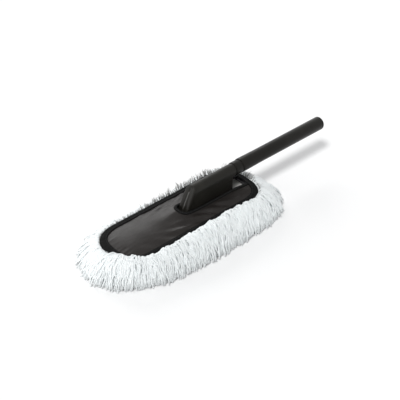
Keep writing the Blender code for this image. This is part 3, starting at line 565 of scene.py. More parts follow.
def cover_folds(head, x, y):
    """Height of the cover's folds: long slanted waves beside the slot, deeper on its right, gathers at the
    front end, and pulls that fan out from the slot's nose."""
    slant = -0.46
    wave_length, sway_length, gather_length = 0.021, 0.13, 0.011
    across = x * np.sin(slant) + np.abs(y) * np.cos(slant)
    along = x * np.cos(slant) - np.abs(y) * np.sin(slant)
    beside = hump(x, 0.020, 0.085) * np.clip((np.abs(y) - 0.016) / 0.018, 0, 1)
    beside = beside * (0.8 + 0.6 * ripple(6, along, 0.07)) * np.where(y < 0, 1.25, 0.45)
    waves = np.sin(across * TURN / wave_length + 1.4 * np.sin(along * TURN / sway_length)) * beside
    front = hump(x, -0.156, 0.015) * (0.55 + 0.45 * ripple(17, y + 0.3 * x, 0.035))
    gathers = np.sin(y * TURN / gather_length + 5 * ripple(16, y, 0.04)) * front * 0.5
    nose_x, pulls = -0.002, 6
    turn = np.arctan2(y, nose_x - x)
    away = np.hypot(x - nose_x, y)
    fan = np.sin(turn * pulls + 0.6) * hump(away, 0.034, 0.026) * 0.40 * np.clip(-x / 0.014, 0, 1)
    slow = ripple(5, x + 0.4 * y, 0.11) * 0.35
    return head.fold * (waves + gathers + fan + slow)


def cloth(name, x, y, z, finish, thickness):
    """A sheet over a grid of points, with its thickness below them and a UV in metres."""
    points = np.stack([x, y, z], -1)
    piece = put_mesh(name, points, [grid_faces(*x.shape)], finish, np.stack([x, y], -1))
    if piece.data.polygons[0].normal.z < 0:
        piece.data.flip_normals()
    solid = piece.modifiers.new("cloth", "SOLIDIFY")
    solid.thickness = thickness
    solid.offset = -1
    return settle(piece)


def make_cover(head, finish):
    """The cover as a band between two curves: share s runs along the slot's edge and the rim together, and
    share t from the slot (0) to the rim (1). The folds fade to nothing at both."""
    rows, columns = 420, 64
    edge = head.tape + FIT
    start = rim_place(head, head.slot_half + edge)
    short_of_rim = 0.004
    end_x = float(rim(head, np.array([start]))[0][0]) - short_of_rim
    s = np.linspace(0, 1, rows)
    knots = (0, 0.36, 0.5, 0.64, 1)
    slot_places = np.interp(s, knots, (0, 0.448, 0.5, 0.552, 1))
    rim_places = np.interp(s, knots, (1 - start, 0.682, 0.5, 0.318, start))
    inner = np.stack(slot_edge(head, slot_places, edge, end_x)[:2])[:, :, None]
    outer = np.stack(rim(head, rim_places, head.tape + 2 * FIT)[:2])[:, :, None]
    t = np.linspace(0, 1, columns)[None, None, :]
    x, y = inner * (1 - t) + outer * t
    fade = np.sin(np.pi * t[0]) ** 0.7
    z = cover_top(head, x, y) + cover_folds(head, x, y) * fade
    return cloth("cover_top_cloth", x, y, z, finish, head.cover)


def make_backing(head, finish):
    """The backing: each row crosses the head at one place of the outline, and sinks to the middle as a
    shallow dish that is slightly uneven."""
    rows, columns = 180, 48
    x, half, _, _ = rim(head, np.linspace(0.004, 0.496, rows), head.tape + 2 * FIT)
    y = half[:, None] * np.linspace(-1, 1, columns)[None, :]
    x = np.repeat(x[:, None], columns, 1)
    slack, spare = 0.00025, 0.0004
    sag = slack * (1 + ripple(9, x + 0.6 * y, 0.05)) * (1 - out_share(head, x, y))
    return cloth("backing_sheet", x, y, backing_top(head, x, y) - sag, finish, head.backing - spare)


def tape_uv(along, out, lift):
    """A tape's UV in metres: along its path, and round its profile from the first point."""
    girth = np.concatenate([[0], np.cumsum(np.hypot(np.diff(out), np.diff(lift)))])
    return np.stack(np.broadcast_arrays(along[:, None], girth[None, :]), -1)


# A tape's profile is a row of points: how far out from the path, how high off the cloth, and which face it
# follows, from 1 for the cover's top to 0 for the lowest one that the tape is folded over
def make_rim_binding(head, finish):
    """The rim's tape: a rounded profile of 19 points carried round the outline, with gathers in its outer
    face and a sunk stitch line."""
    rows = 1100
    width = head.binding
    out = np.array([-width, -width - 0.0002, -width + 0.0004, -width + 0.0017, -width + 0.0028,
                    -width + 0.0042, -0.0060, -0.0032, -0.0012, 0.0004, 0.0010, 0.0004, -0.0012, -0.0040,
                    -width, -width, -0.0060, -0.0018, -0.0018])
    lift = np.array([0.3, 1.0, 1.7, 1.9, 1.5, 2.2, 2.5, 2.2, 1.6, 0.6, 0, -0.6, -1.3, -1.7, -1.5, -0.3,
                     -0.3, -0.3, 0.3]) * MILLIMETRE
    upper = np.array([1, 1, 1, 1, 1, 1, 1, 1, 1, 0.9, 0.5, 0.1, 0, 0, 0, 0, 0, 0, 1.0])
    outer_face = np.abs(lift) > 0.0009
    places = np.linspace(0, 1, rows, endpoint=False)
    along = places * rim_length(head)
    x, y, nx, ny = (part[:, None] for part in rim(head, places))
    x, y = x + nx * out, y + ny * out
    gather = ripple(21, along, 0.0125)[:, None] * 0.16 + ripple(22, along, 0.047)[:, None] * 0.12
    z = upper * cover_top(head, x, y) + (1 - upper) * backing_under(head, x, y)
    z = z + lift * (1 + gather * outer_face)
    blocks = [grid_faces(rows, out.size, True, True)]
    return face_outwards(
        put_mesh("rim_tape", np.stack([x, y, z], -1), blocks, finish, tape_uv(along, out, lift))
    )


def make_slot_binding(head, finish):
    """The slot's tape: a rounded profile of 14 points carried along the slot's edge, with gathers in its
    upper face and both ends closed."""
    rows = 420
    short_of_tape = 0.001
    width = head.slot_tape
    out = np.array([0, -0.0004, 0, 0.0012, 0.0030, width - 0.0006, width, width - 0.0002, head.tape,
                    head.tape, width - 0.0002, width, width - 0.0006, 0.0012])
    lift = np.array([-0.6, 0.2, 1.2, 1.9, 2.0, 1.6, 0.9, 0.3, 0.3, -0.3, -0.3, -0.8, -1.2, -1.4]) * MILLIMETRE
    upper = np.array([0.5, 0.8, 1, 1, 1, 1, 1, 1, 1, 0, 0, 0, 0, 0.0])
    outer = head.slot_half + width
    radius = head.width / 2
    end_x = head.length / 2 - radius + radius * (1 - (outer / radius) ** head.fullness) ** (1 / head.fullness)
    end_x = end_x - head.binding - short_of_tape
    places = np.linspace(0, 1, rows)
    along = places * SLOT_LENGTH
    x, y, nx, ny = (part[:, None] for part in slot_edge(head, places, 0, end_x))
    x, y = x + nx * out, y + ny * out
    gather = ripple(31, along, 0.010)[:, None] * 0.14
    z = cover_top(head, x, y) - (1 - upper) * head.cover + lift * (1 + gather * (upper > 0.9))
    blocks = [grid_faces(rows, out.size, False, True), end_fans(rows, out.size)]
    return face_outwards(
        put_mesh("slot_tape", np.stack([x, y, z], -1), blocks, finish, tape_uv(along, out, lift))
    )


def make_stitches(head, name, x, y, z, nx, ny, finish):
    """A row of stitches: one small spindle, r = thick (1.02 - (2a)^4), laid along the path at each place,
    with its ends sunk into the tape as (2a)^2."""
    thick, sunk, pitch_share = 0.00034, 0.0004, 0.74
    along = np.linspace(-0.5, 0.5, 7)
    turns = np.linspace(0, TURN, 6, endpoint=False)
    radius = thick * (1.02 - (2 * along) ** 4)
    local_a = np.repeat(along[:, None], turns.size, 1) * head.stitch * pitch_share
    local_n = radius[:, None] * np.cos(turns)
    local_z = radius[:, None] * np.sin(turns) - sunk * (2 * along[:, None]) ** 2
    centre = np.stack([x, y, z], -1)[:, None, None, :]
    tangent = np.stack([-ny, nx, 0 * nx], -1)[:, None, None, :]
    normal = np.stack([nx, ny, 0 * nx], -1)[:, None, None, :]
    points = centre + tangent * local_a[..., None] + normal * local_n[..., None]
    points[..., 2] += local_z
    return face_outwards(put_mesh(name, points, tube_faces(len(x), along.size, turns.size), finish))


def tubes(name, strands, sides, finish):
    """Strands as tubes: strands holds their middle lines (strands x steps x 3), radii and tones (strands x
    steps) and lengths. Each ring is r (cos a side + sin a up) in the frame of its strand, and fans close
    both ends. No point lies lower than the gap above the floor."""
    centre, radius, tone, length = strands
    number, steps, _ = centre.shape
    tiny, slight = 1e-12, 1e-5
    tangent = np.gradient(centre, axis=1)
    tangent /= np.linalg.norm(tangent, axis=2, keepdims=True) + tiny
    chord = centre[:, -1] - centre[:, 0]
    flat = np.stack([-chord[:, 1], chord[:, 0], slight + 0 * chord[:, 0]], -1)
    flat /= np.linalg.norm(flat, axis=1, keepdims=True)
    side = flat[:, None, :] - tangent * np.einsum("ij,isj->is", flat, tangent)[..., None]
    side /= np.linalg.norm(side, axis=2, keepdims=True) + tiny
    up = np.cross(tangent, side)
    turns = np.linspace(0, TURN, sides, endpoint=False)
    ring = np.cos(turns)[:, None] * side[:, :, None, :] + np.sin(turns)[:, None] * up[:, :, None, :]
    points = centre[:, :, None, :] + ring * radius[:, :, None, None]
    points[..., 2] = np.maximum(points[..., 2], FIT)
    around = np.broadcast_to(turns / TURN, (number, steps, sides))
    along = np.linspace(0, 1, steps)[None, :] * length[:, None]
    uv = np.stack([around, np.broadcast_to(along[..., None], around.shape)], -1)
    tones = np.broadcast_to(tone[..., None], around.shape)
    return face_outwards(put_mesh(name, points, tube_faces(number, steps, sides), finish, uv, tones))


# Rows of the fringe from the top down: root outwards and below the rim in metres, share of the top's height,
# share of the reach, highest tip above the floor in metres, and spacing as a share of the yarn's thickness
FRINGE_ROWS = (
    (0.0012, 0.0035, 1.000, 1.00, 0.0120, 0.59),
    (0.0014, 0.0050, 0.965, 0.97, 0.0090, 0.59),
    (0.0016, 0.0060, 0.935, 0.94, 0.0070, 0.61),
    (0.0016, 0.0070, 0.900, 0.89, 0.0050, 0.64),
    (0.0016, 0.0080, 0.850, 0.82, 0.0040, 0.84),
    (0.0012, 0.0095, 0.760, 0.68, 0.0020, 0.96),
    (0.0005, 0.0105, 0.640, 0.42, 0.0010, 1.20),
    (-0.0040, 0.0110, 0.540, 0.16, 0.0010, 1.52),
)

# How the fringe lies, counter-clockwise from the rear tip: the share of the outline, the reach as a share of
# the longest, and how far it is brushed up over the tape: 0 where it hangs, 0.9 to 1.3 where it is up
LIE = (
    (0.00, 1.06, 0.25), (0.05, 1.00, 0.10), (0.10, 0.92, 0.00), (0.25, 0.88, 0.00), (0.40, 0.92, 0.00),
    (0.46, 1.02, 0.05), (0.49, 1.06, 0.40), (0.52, 0.92, 0.85), (0.54, 0.72, 1.15), (0.56, 0.54, 1.30),
    (0.59, 0.54, 1.15), (0.62, 0.76, 1.00), (0.68, 0.88, 1.05), (0.74, 0.96, 1.18), (0.80, 0.92, 1.25),
    (0.87, 0.84, 1.12), (0.91, 0.86, 0.90), (0.94, 1.10, 0.60), (0.97, 1.20, 0.40),
)
LIE_PLACES, LIE_REACH, LIE_RISE = zip(*LIE)

# The two sines that a strand wavers by: their size in metres, and how often they repeat along it
SWINGS = ((0.0017, 1.4), (0.0009, 3.7))

# Shares of the outline, and beside them the share of the hairs that grow there or their size
HAIRS_GROW = ((0.0, 0.03, 0.22, 0.34, 0.42, 0.47), (0.35, 1.0, 1.0, 0.50, 0.22, 0.04))
HAIRS_SIZE = ((0.0, 0.22, 0.34, 0.42), (1.0, 1.0, 0.62, 0.50))


def from_rim(head, places, out, aside, z):
    """Points out from the outline and aside along it, at the heights z, one row for each place."""
    x, y, nx, ny = (part[:, None] for part in rim(head, places))
    return np.stack([x + nx * out - ny * aside, y + ny * out + nx * aside, z], -1)


def cubic(points, q):
    """Cubic curves at the shares q of their way: each point is weighed by 1, 3, 3 or 1 times the powers of
    1 - q and q that add up to three."""
    weights = [(1 - q) ** 3, 3 * q * (1 - q) ** 2, 3 * q**2 * (1 - q), q**3]
    return sum(point[:, None] * weight for point, weight in zip(points, weights))


def bunch_up(places, number, bunches, length):
    """For each place the bunch that it belongs to, and how far along the rim that bunch's middle lies from
    it. The bunches of each row are shifted against those of the row above."""
    shift = 0.37 * number
    bunch = np.floor((places % 1) * bunches + shift).astype(int) % bunches
    middle = (bunch + 0.5 - shift) / bunches
    return bunch, ((middle - places + 0.5) % 1 - 0.5) * length


def fringe_row(head, yarn, random, length, number, row):
    """One row of the fringe, its strands closer together at the head's tips, where they spread like a fan. A
    strand is a cubic curve in its own upright plane: it rises from the rim, passes over its highest point
    and falls to the floor. It is drawn towards the middle of its bunch as it goes, and wavers by two sines,
    more where it is brushed up. There the three top rows start inside the rim, over the tape, and furthest
    in at the front's right corner. Returns each strand's place on the rim, its points, radii, tones and
    length."""
    root_out, root_drop, top_share, reach_share, tip_high, spacing = row
    crowding, rows_over, first_out = 0.25, 3, 0.0045
    strands = int(length / (yarn.thickness * spacing))
    q = np.linspace(0, 1, 15)[None, :]
    even = np.linspace(-0.01, 1.01, RIM_STEPS // 2)
    crowded = even + crowding / (2 * TURN) * np.sin(2 * TURN * even)
    counted = (np.arange(strands) + random.uniform(-0.35, 0.35, strands)) / strands
    places = np.interp(counted, crowded, even)
    bunches = int(length / yarn.bunch)
    bunch, pull = bunch_up(places, number, bunches, length)
    bunch_reach = random.uniform(0.86, 1.0, bunches)[bunch]
    bunch_top = random.uniform(-0.0050, 0.0035, bunches)[bunch]
    bunch_lean = random.uniform(-0.0050, 0.0050, bunches)[bunch]
    lie_reach = np.interp(places, LIE_PLACES, LIE_REACH, period=1)
    rise = np.interp(places, LIE_PLACES, LIE_RISE, period=1)
    reach = yarn.reach * reach_share * lie_reach * bunch_reach * random.uniform(0.88, 1.0, strands)
    uneven = bunch_top + random.uniform(-0.0035, 0.0025, strands)
    top = (yarn.low_top + (yarn.top - yarn.low_top) * rise) * top_share
    top = top + uneven * (0.45 + 0.55 * np.minimum(rise, 1))
    root_z = head.rim_height - root_drop
    tip_z = yarn.thickness * 0.42 + random.uniform(0, 1, strands) ** 2 * tip_high

    # Halfway along, a cubic is an eighth of each end point and three eighths of each point between
    high = (top - 0.125 * (root_z + tip_z)) / 0.75
    shoulder = np.minimum(high, tip_z + (high - tip_z) * (0.62 + 0.38 * rise))
    over = 1 + 3.2 * hump(places, 0.520, 0.022) + 1.1 * hump(places, 0.570, 0.030)
    start = root_out - yarn.cover_over * rise * over * (number < rows_over)
    out = cubic((start, start + first_out, reach * random.uniform(0.54, 0.70, strands), reach), q)
    z = cubic((root_z + 0 * reach, high, shoulder, tip_z), q)
    lean = random.normal(0, 0.0026, strands) + bunch_lean
    aside = pull[:, None] * 0.28 * q**1.3 + lean[:, None] * q**1.6
    loose = (1 + 0.7 * np.clip(rise, 0, 1))[:, None]
    for swing_size, repeats in SWINGS:
        phase = random.uniform(0, TURN, (strands, 2))
        swing = swing_size * np.sqrt(q) * loose
        aside = aside + swing * np.sin(TURN * repeats * q + phase[:, :1])
        out = out + swing * np.sin(TURN * repeats * q + phase[:, 1:]) * q
    centre = from_rim(head, places, out, aside, z)
    centre[..., 2] = np.maximum(centre[..., 2], yarn.thickness * 0.45)
    thick = random.uniform(0.84, 1.12, strands)[:, None] * yarn.thickness / 2
    radius = thick * (1 - 0.22 * q**3) * (0.75 + 0.25 * np.minimum(q * 6, 1))
    tone = random.uniform(0.55, 1.0, strands)[:, None] * (1 - 0.06 * q)
    return places % 1, centre, radius, tone, np.full(strands, STRAND_LENGTH)


def fringe_strands(head, yarn, random):
    """All rows of the fringe, joined into the five arrays that fringe_row returns."""
    length = rim_length(head)
    made = [fringe_row(head, yarn, random, length, *row) for row in enumerate(FRINGE_ROWS)]
    return [np.concatenate(parts) for parts in zip(*made)]


def loose_hairs(head, yarn, random):
    """Frayed fibres that stand up from the fringe where it hangs low: tapered arcs that start under the
    tape, in small tufts, reach out a little and rise by a sine. They are fewer and shorter towards the
    head's front. Returns the same five arrays as fringe_strands."""
    strands = yarn.hairs
    root, over_top, tufts_per_bunch = 0.0015, 0.0035, 1.9
    q = np.linspace(0, 1, 8)[None, :]
    tufts = int(rim_length(head) / yarn.bunch * tufts_per_bunch)
    tuft = random.integers(0, tufts, strands)
    middle = (tuft + random.uniform(-0.3, 0.3, tufts)[tuft]) / tufts
    places = (middle + random.normal(0, 0.0007, strands)) % 1
    kept = random.uniform(0, 1, strands) < np.interp(places, *HAIRS_GROW, period=1)
    tuft, places, strands = tuft[kept], places[kept], int(kept.sum())
    rise = np.minimum(np.interp(places, LIE_PLACES, LIE_RISE, period=1), 1)[:, None]
    tuft_size = random.uniform(0.35, 1.0, tufts)[tuft][:, None]
    tuft_size = tuft_size * np.interp(places, *HAIRS_SIZE, period=1)[:, None]
    out = root + tuft_size * random.uniform(0.002, 0.013, strands)[:, None] * q
    base = head.rim_height - root + (yarn.top - head.rim_height - over_top) * rise
    lift = tuft_size * random.uniform(0.005, 0.018, strands)[:, None] * (1 - 0.6 * rise)
    z = base + lift * np.sin(np.pi * 0.5 * q)
    aside = random.normal(0, 0.0026, strands)[:, None] * q**1.4
    centre = from_rim(head, places, out, aside, z)
    radius = random.uniform(0.00035, 0.00070, strands)[:, None] * (1 - 0.85 * q)
    # The hairs' tone paints shade: darker at the roots and where the fringe hangs low, paler towards the tips
    tone = random.uniform(0.0, 0.4, strands)[:, None] + 0.6 * np.maximum(q, rise)
    return places, centre, radius, tone, np.full(strands, HAIR_LENGTH)


def between(strands, low, high):
    """What belongs to the strands whose places lie between two shares of the outline, without the places."""
    places, *rest = strands
    inside = (places >= low) & (places < high)
    return [values[inside] for values in rest]


def make_fringe(head, yarn, finish, hair_shade):
    """The fringe and its hairs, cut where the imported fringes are: at the tips, and where the ends meet the
    straight sides."""
    random = np.random.default_rng(yarn.seed)
    strands = fringe_strands(head, yarn, random)
    hairs = loose_hairs(head, yarn, random)
    whole = rim_length(head)
    straight = head.length - head.width
    quarter = (whole - 2 * straight) / 4 / whole
    side = straight / whole
    bounds = np.cumsum([0, quarter, side, quarter, quarter, side, quarter])
    names = ("rear_left", "side_left", "front_left", "front_right", "side_right", "rear_right")
    for name, low, high in zip(names, bounds, bounds[1:]):
        piece = tubes("yarn_" + name, between(strands, low, high), 6, finish)
        finish_piece(piece, "root", "yarn_cotton", "fringe_" + name)
        loose = tubes("hairs_" + name, between(hairs, low, high), 3, hair_shade)
        finish_piece(loose, "root", "yarn_cotton")


def make_pile(head, yarn, finish):
    """The yarn under the head: strands on a staggered grid, down from the backing to the floor with a slight
    waver."""
    random = np.random.default_rng(yarn.seed + 1)
    row_share, uneven, edge, tip, swing = 0.87, 0.0012, 0.84, 0.0002, 0.0010
    pitch = yarn.pile
    columns, rows = np.arange(-28, 29), np.arange(-10, 11)
    x, y = np.meshgrid(columns * pitch, rows * pitch * row_share)
    x = x + (rows[:, None] % 2) * pitch / 2
    x = (x + random.uniform(-uneven, uneven, x.shape)).ravel()
    y = (y + random.uniform(-uneven, uneven, y.shape)).ravel()
    inside = out_share(head, x, y) < edge
    x, y = x[inside], y[inside]
    q = np.linspace(0, 1, 8)[None, :]
    root = (backing_under(head, x, y) - FIT)[:, None]
    z = root * (1 - q) + tip * q
    phase = random.uniform(0, TURN, (len(x), 2))
    lean = random.normal(0, 0.0018, (len(x), 2))
    shift_x = lean[:, :1] * q + swing * q * np.sin(7 * q + phase[:, :1])
    shift_y = lean[:, 1:] * q + swing * q * np.sin(6 * q + phase[:, 1:])
    centre = np.stack([x[:, None] + shift_x, y[:, None] + shift_y, z], -1)
    radius = random.uniform(0.9, 1.2, len(x))[:, None] * yarn.thickness * 0.62 * (1 - 0.15 * q)
    tone = random.uniform(0.4, 1.0, len(x))[:, None] + 0 * q
    piece = tubes("yarn_pile", (centre, radius, tone, np.full(len(x), PILE_LENGTH)), 6, finish)
    return finish_piece(piece, "root", "yarn_cotton", "pile_under")


def turned(name, profile, finish, body, slot, node, steps=96):
    """A piece turned about the handle's axis: a closed profile of places along X and radii, carried round."""
    x, radius = np.array(profile, float).T
    turns = np.linspace(0, TURN, steps, endpoint=False)
    points = np.stack(np.broadcast_arrays(
        x[:, None] - HEAD_X, radius[:, None] * np.sin(turns), AXIS_HEIGHT + radius[:, None] * np.cos(turns)
    ), -1)
    piece = face_outwards(put_mesh(name, points, [grid_faces(len(x), steps, True, True)], finish))
    piece.data.set_sharp_from_angle(angle=SHARP)
    return finish_piece(piece, body, slot, node)


def arc(x, radius, edge, first, last, steps=5):
    """Points of a small round edge, from one direction to the other in degrees, about a middle."""
    turns = np.radians(np.linspace(first, last, steps))
    return [(x + edge * math.cos(turn), radius + edge * math.sin(turn)) for turn in turns]


def make_handle(grip, finishes):
    """The grip, the bush in its mouth, the domed cap and the inner tube, all turned about one axis."""
    radius = (CAP_HIGH.z - CAP_LOW.z) / 2
    mouth = (GRIP_HIGH.z - GRIP_LOW.z) / 2
    bore = radius - grip.wall
    edge = grip.edge
    start, end = GRIP_LOW.x, GRIP_HIGH.x
    profile = [(start, bore)] + arc(start + edge, mouth - edge, edge, 180, 90)
    taper = np.linspace(0, 1, 9)[1:]
    ease = taper * taper * (3 - 2 * taper)
    profile += [(start + edge + grip.mouth * a, mouth + (radius - mouth) * b) for a, b in zip(taper, ease)]
    profile += arc(end - edge / 2, radius - edge / 2, edge / 2, 90, 0, 3) + [(end, bore)]
    turned("grip_tube", profile, finishes["grip"], "handle", "handle_plastic", "handle_tube")

    lip = (BUSH_HIGH.z - BUSH_LOW.z) / 2
    inner = (TUBE_HIGH.z - TUBE_LOW.z) / 2
    seat = start - FIT
    low, high = BUSH_LOW.x, BUSH_HIGH.x
    profile = [(low, inner + FIT)] + arc(low + edge, lip - edge, edge, 180, 90)
    profile += arc(seat - edge / 2, lip - edge / 2, edge / 2, 90, 0, 3)
    profile += [(seat, bore - FIT), (high, bore - FIT), (high, inner + FIT)]
    turned("mouth_bush", profile, finishes["grip"], "handle", "handle_plastic", "guide_bush")

    blunt, wall, near_axis = 0.008, 0.002, 0.0001
    seat = end + FIT
    rise = CAP_HIGH.x - seat
    turns = np.linspace(0, math.pi / 2, 14)
    profile = [(seat, bore - FIT)]
    profile += [(seat + rise * math.sin(a), blunt + (radius - blunt) * math.cos(a)) for a in turns]
    profile += [(CAP_HIGH.x, near_axis), (seat + wall, near_axis), (seat + wall, bore - wall)]
    profile += [(CAP_LOW.x, bore - wall), (CAP_LOW.x, bore - FIT)]
    turned("grip_cap", profile, finishes["grip"], "handle", "handle_plastic", "end_cap")

    thin = inner - grip.tube_wall
    low, high = TUBE_LOW.x, TUBE_HIGH.x
    profile = [(low, thin), (low, inner), (high, inner), (high, thin)]
    turned("slide_tube", profile, finishes["tube"], "root", "tube_aluminium", "inner_tube")


def neck_outline(radius, foot, steps):
    """Half of the neck's section as y and z: a quarter circle at the top, a flat side and the foot."""
    first = math.asin(FIT / 2 / radius)
    turns = np.linspace(first, math.pi / 2, steps)
    side = np.linspace(AXIS_HEIGHT, foot, steps)[1:]
    y = np.concatenate([radius * np.sin(turns), np.full(len(side), radius), [radius / 2, FIT / 2]])
    z = np.concatenate([AXIS_HEIGHT + radius * np.cos(turns), side, [foot, foot]])
    return y, z


def neck_sections(grip):
    """Sections of half the neck from front to rear, each as x, y and z: they follow the slanted front face
    and its round edges, run back along the flat sides, and turn into half circles for the socket."""
    steps, socket_run = 26, 0.003
    radius, foot = NECK_HIGH.y, NECK_LOW.z
    toe, end = NECK_LOW.x - HEAD_X, NECK_HIGH.x - HEAD_X
    slope = math.tan(grip.neck_slope)
    sections = []
    for turn in np.linspace(0, math.pi / 2, 7):
        inset = grip.neck_round * (1 - math.sin(turn))
        back = grip.neck_round * (1 - math.cos(turn))
        y, z = neck_outline(radius - inset, foot, steps)
        sections.append((toe + (z - foot) / slope + back, y, z))
    y, z = neck_outline(radius, foot, steps)
    front = toe + (z - foot) / slope + grip.neck_round
    for run in np.linspace(0, 1, 7)[1:]:
        sections.append((front + (grip.fin_end - front) * run, y, z))
    first = math.asin(FIT / 2 / radius)
    turns = np.linspace(first, math.pi - first, len(y))
    socket = ((grip.fin_end + socket_run, radius), (end - grip.edge, radius), (end, radius - grip.edge))
    for x, small in socket:
        sections.append((np.full(len(y), x), small * np.sin(turns), AXIS_HEIGHT + small * np.cos(turns)))
    return sections


def make_neck_half(grip, side, name, node, finish):
    """One half of the neck: its sections joined into a closed piece, on the left or mirrored to the right.
    Cutters open the bore and, in the left half, the screws' seats."""
    bore_radius, bore_length = 0.0093, 0.12
    seat_radius, seat_length, seat_depth = 0.0038, 0.02, 0.0027
    points = np.array([np.stack([x, side * y, z], -1) for x, y, z in neck_sections(grip)])
    rows, columns, _ = points.shape
    blocks = [grid_faces(rows, columns, False, True), end_fans(rows, columns)]
    piece = face_outwards(put_mesh(name, points, blocks, finish))
    bore = (TUBE_LOW.x, 0, AXIS_HEIGHT)
    cutters = [rod("bore_cutter_" + name, bore, (1, 0, 0), bore_length, bore_radius, 64)]
    if side > 0:
        for screw in ("front", "middle", "rear"):
            low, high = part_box("neck_screw_" + screw)
            middle = (low + high) / 2
            seat = Vector((middle.x, high.y - seat_depth, middle.z))
            cutters.append(rod("seat_cutter_" + screw, seat, (0, 1, 0), seat_length, seat_radius, 40))
    cut(piece, cutters)
    round_edges(piece, width=0.00035, degrees=50)
    return finish_piece(piece, "root", "neck_plastic", node)


def cut(piece, cutters):
    """Cuts the cutters out of a piece and removes them."""
    for cutter in cutters:
        modifier = piece.modifiers.new(cutter.name, "BOOLEAN")
        modifier.operation = "DIFFERENCE"
        modifier.solver = "EXACT"
        modifier.object = cutter
    settle(piece)
    for cutter in cutters:
        bpy.data.objects.remove(cutter, do_unlink=True)


def round_edges(piece, width, degrees):
    """Bevels the edges that turn by more than an angle, and shades the faces smooth."""
    bevel = piece.modifiers.new("edges", "BEVEL")
    bevel.width = width
    bevel.segments = 2
    bevel.limit_method = "ANGLE"
    bevel.angle_limit = math.radians(degrees)
    settle(piece)
    piece.data.shade_smooth()
    piece.data.set_sharp_from_angle(angle=SHARP)


def make_neck_bead(grip, finish):
    """The rounded bead down the middle of the neck's front, over the joint of its halves: half an ellipse,
    h = proud cos(t), y = half sin(t), carried up the slope and run out to almost nothing at both ends. Its
    long edges are sunk a little into the neck."""
    rows, columns = 30, 9
    half, proud, sunk = 0.0017, 0.0007, 0.0002
    above_foot, left_out, bluntness, least = 0.001, 0.012, 12, 0.02
    toe, foot = NECK_LOW.x - HEAD_X, NECK_LOW.z
    slope = grip.neck_slope
    turns = np.linspace(-np.pi / 2, np.pi / 2, columns)[None, :]
    run = np.linspace(0, 1, rows)[:, None]
    height = foot + above_foot + (NECK_HIGH.z - foot - left_out) * run
    ends = np.sqrt(np.clip(1 - np.abs(2 * run - 1) ** bluntness, least, 1))
    out = proud * np.cos(turns) * ends - sunk * (np.abs(turns) > 1.5)
    x = toe + (height - foot) / math.tan(slope) - out * math.sin(slope)
    z = height + out * math.cos(slope)
    y = half * np.sin(turns) * ends
    blocks = [grid_faces(rows, columns, False, True), end_fans(rows, columns)]
    piece = face_outwards(put_mesh("neck_bead", np.stack([x, y, z], -1), blocks, finish))
    return finish_piece(piece, "root", "neck_plastic")


def rod(name, start, axis, length, radius, sides):
    """A plain cutter: a circle carried along an axis, with both ends closed."""
    start, axis = np.array(start, float), np.array(axis, float)
    side = np.cross(axis, (0, 0, 1.0))
    up = np.cross(side, axis)
    turns = np.linspace(0, TURN, sides, endpoint=False)[:, None]
    ring = radius * (np.cos(turns) * side + np.sin(turns) * up)
    points = np.array([start + ring, start + axis * length + ring]) - (HEAD_X, 0, 0)
    blocks = [grid_faces(2, sides, False, True), end_fans(2, sides)]
    return face_outwards(put_mesh(name, points, blocks, None))


def make_floor():
    """A flat white square a little below the strands, which glows slightly where it is seen directly."""
    finish = Finish("studio_floor", 0.9, specular=0.0)
    finish.shader.inputs["Base Color"].default_value = (0.97, 0.97, 0.97, 1)
    finish.shader.inputs["Emission Strength"].default_value = 1.0
    seen_directly = finish.node("LightPath", output="Is Camera Ray")
    finish.set("Emission Color", finish.blend(seen_directly, (0.0, 0.0, 0.0), (0.06, 0.06, 0.06)))
    half, lines, below = 7, 9, 0.0001
    x, y = np.meshgrid(*[np.linspace(-half, half, lines)] * 2)
    points = np.stack([x, y, 0 * x - below], -1)
    floor = put_mesh("floor", points, [grid_faces(lines, lines)], finish.material)


def make_world(scene):
    """A dim sky that lights the scene, and a white one where the sky is seen: directly, in a reflection or
    through something clear."""
    world = bpy.data.worlds.new("studio")
    scene.world = world
    world.use_nodes = True
    tree = world.node_tree
    tree.nodes.clear()
    out = tree.nodes.new("ShaderNodeOutputWorld")
    mix = tree.nodes.new("ShaderNodeMixShader")
    path = tree.nodes.new("ShaderNodeLightPath")
    skies = (("light", (0.98, 0.99, 1.0, 1), 0.385), ("seen", (1, 1, 1, 1), 1.0))
    for place, (name, tint, strength) in enumerate(skies, 1):
        sky = tree.nodes.new("ShaderNodeBackground")
        sky.label = name
        sky.inputs["Color"].default_value = tint
        sky.inputs["Strength"].default_value = strength
        tree.links.new(sky.outputs["Background"], mix.inputs[place])
    rays = path.outputs["Is Camera Ray"]
    for kind in ("Is Glossy Ray", "Is Transmission Ray"):
        either = tree.nodes.new("ShaderNodeMath")
        either.operation = "MAXIMUM"
        tree.links.new(rays, either.inputs[0])
        tree.links.new(path.outputs[kind], either.inputs[1])
        rays = either.outputs["Value"]
    tree.links.new(rays, mix.inputs["Fac"])
    tree.links.new(mix.outputs["Shader"], out.inputs["Surface"])


def make_lamps(scene, right, away):
    """Three suns, each with the way it shines, its strength and the angle that it fills in degrees."""
    down = Vector((0, 0, -1))
    lamps = (
        ("key", right * 0.22 + away * 0.62 + down, 1.70, 11),
        ("back", away * -1.60 + right * 0.55 + down, 0.85, 36),
        ("side", right * 1.00 + away * 0.05 + down * 0.24, 0.56, 32),
    )
    for name, towards, strength, spread in lamps:
        sun = bpy.data.lights.new(name, "SUN")
        sun.energy = strength
        sun.angle = math.radians(spread)
        lamp = bpy.data.objects.new(name, sun)
        lamp.rotation_euler = towards.to_track_quat("-Z", "Y").to_euler()
        lamp.location = -towards * 3
        scene.collection.objects.link(lamp)


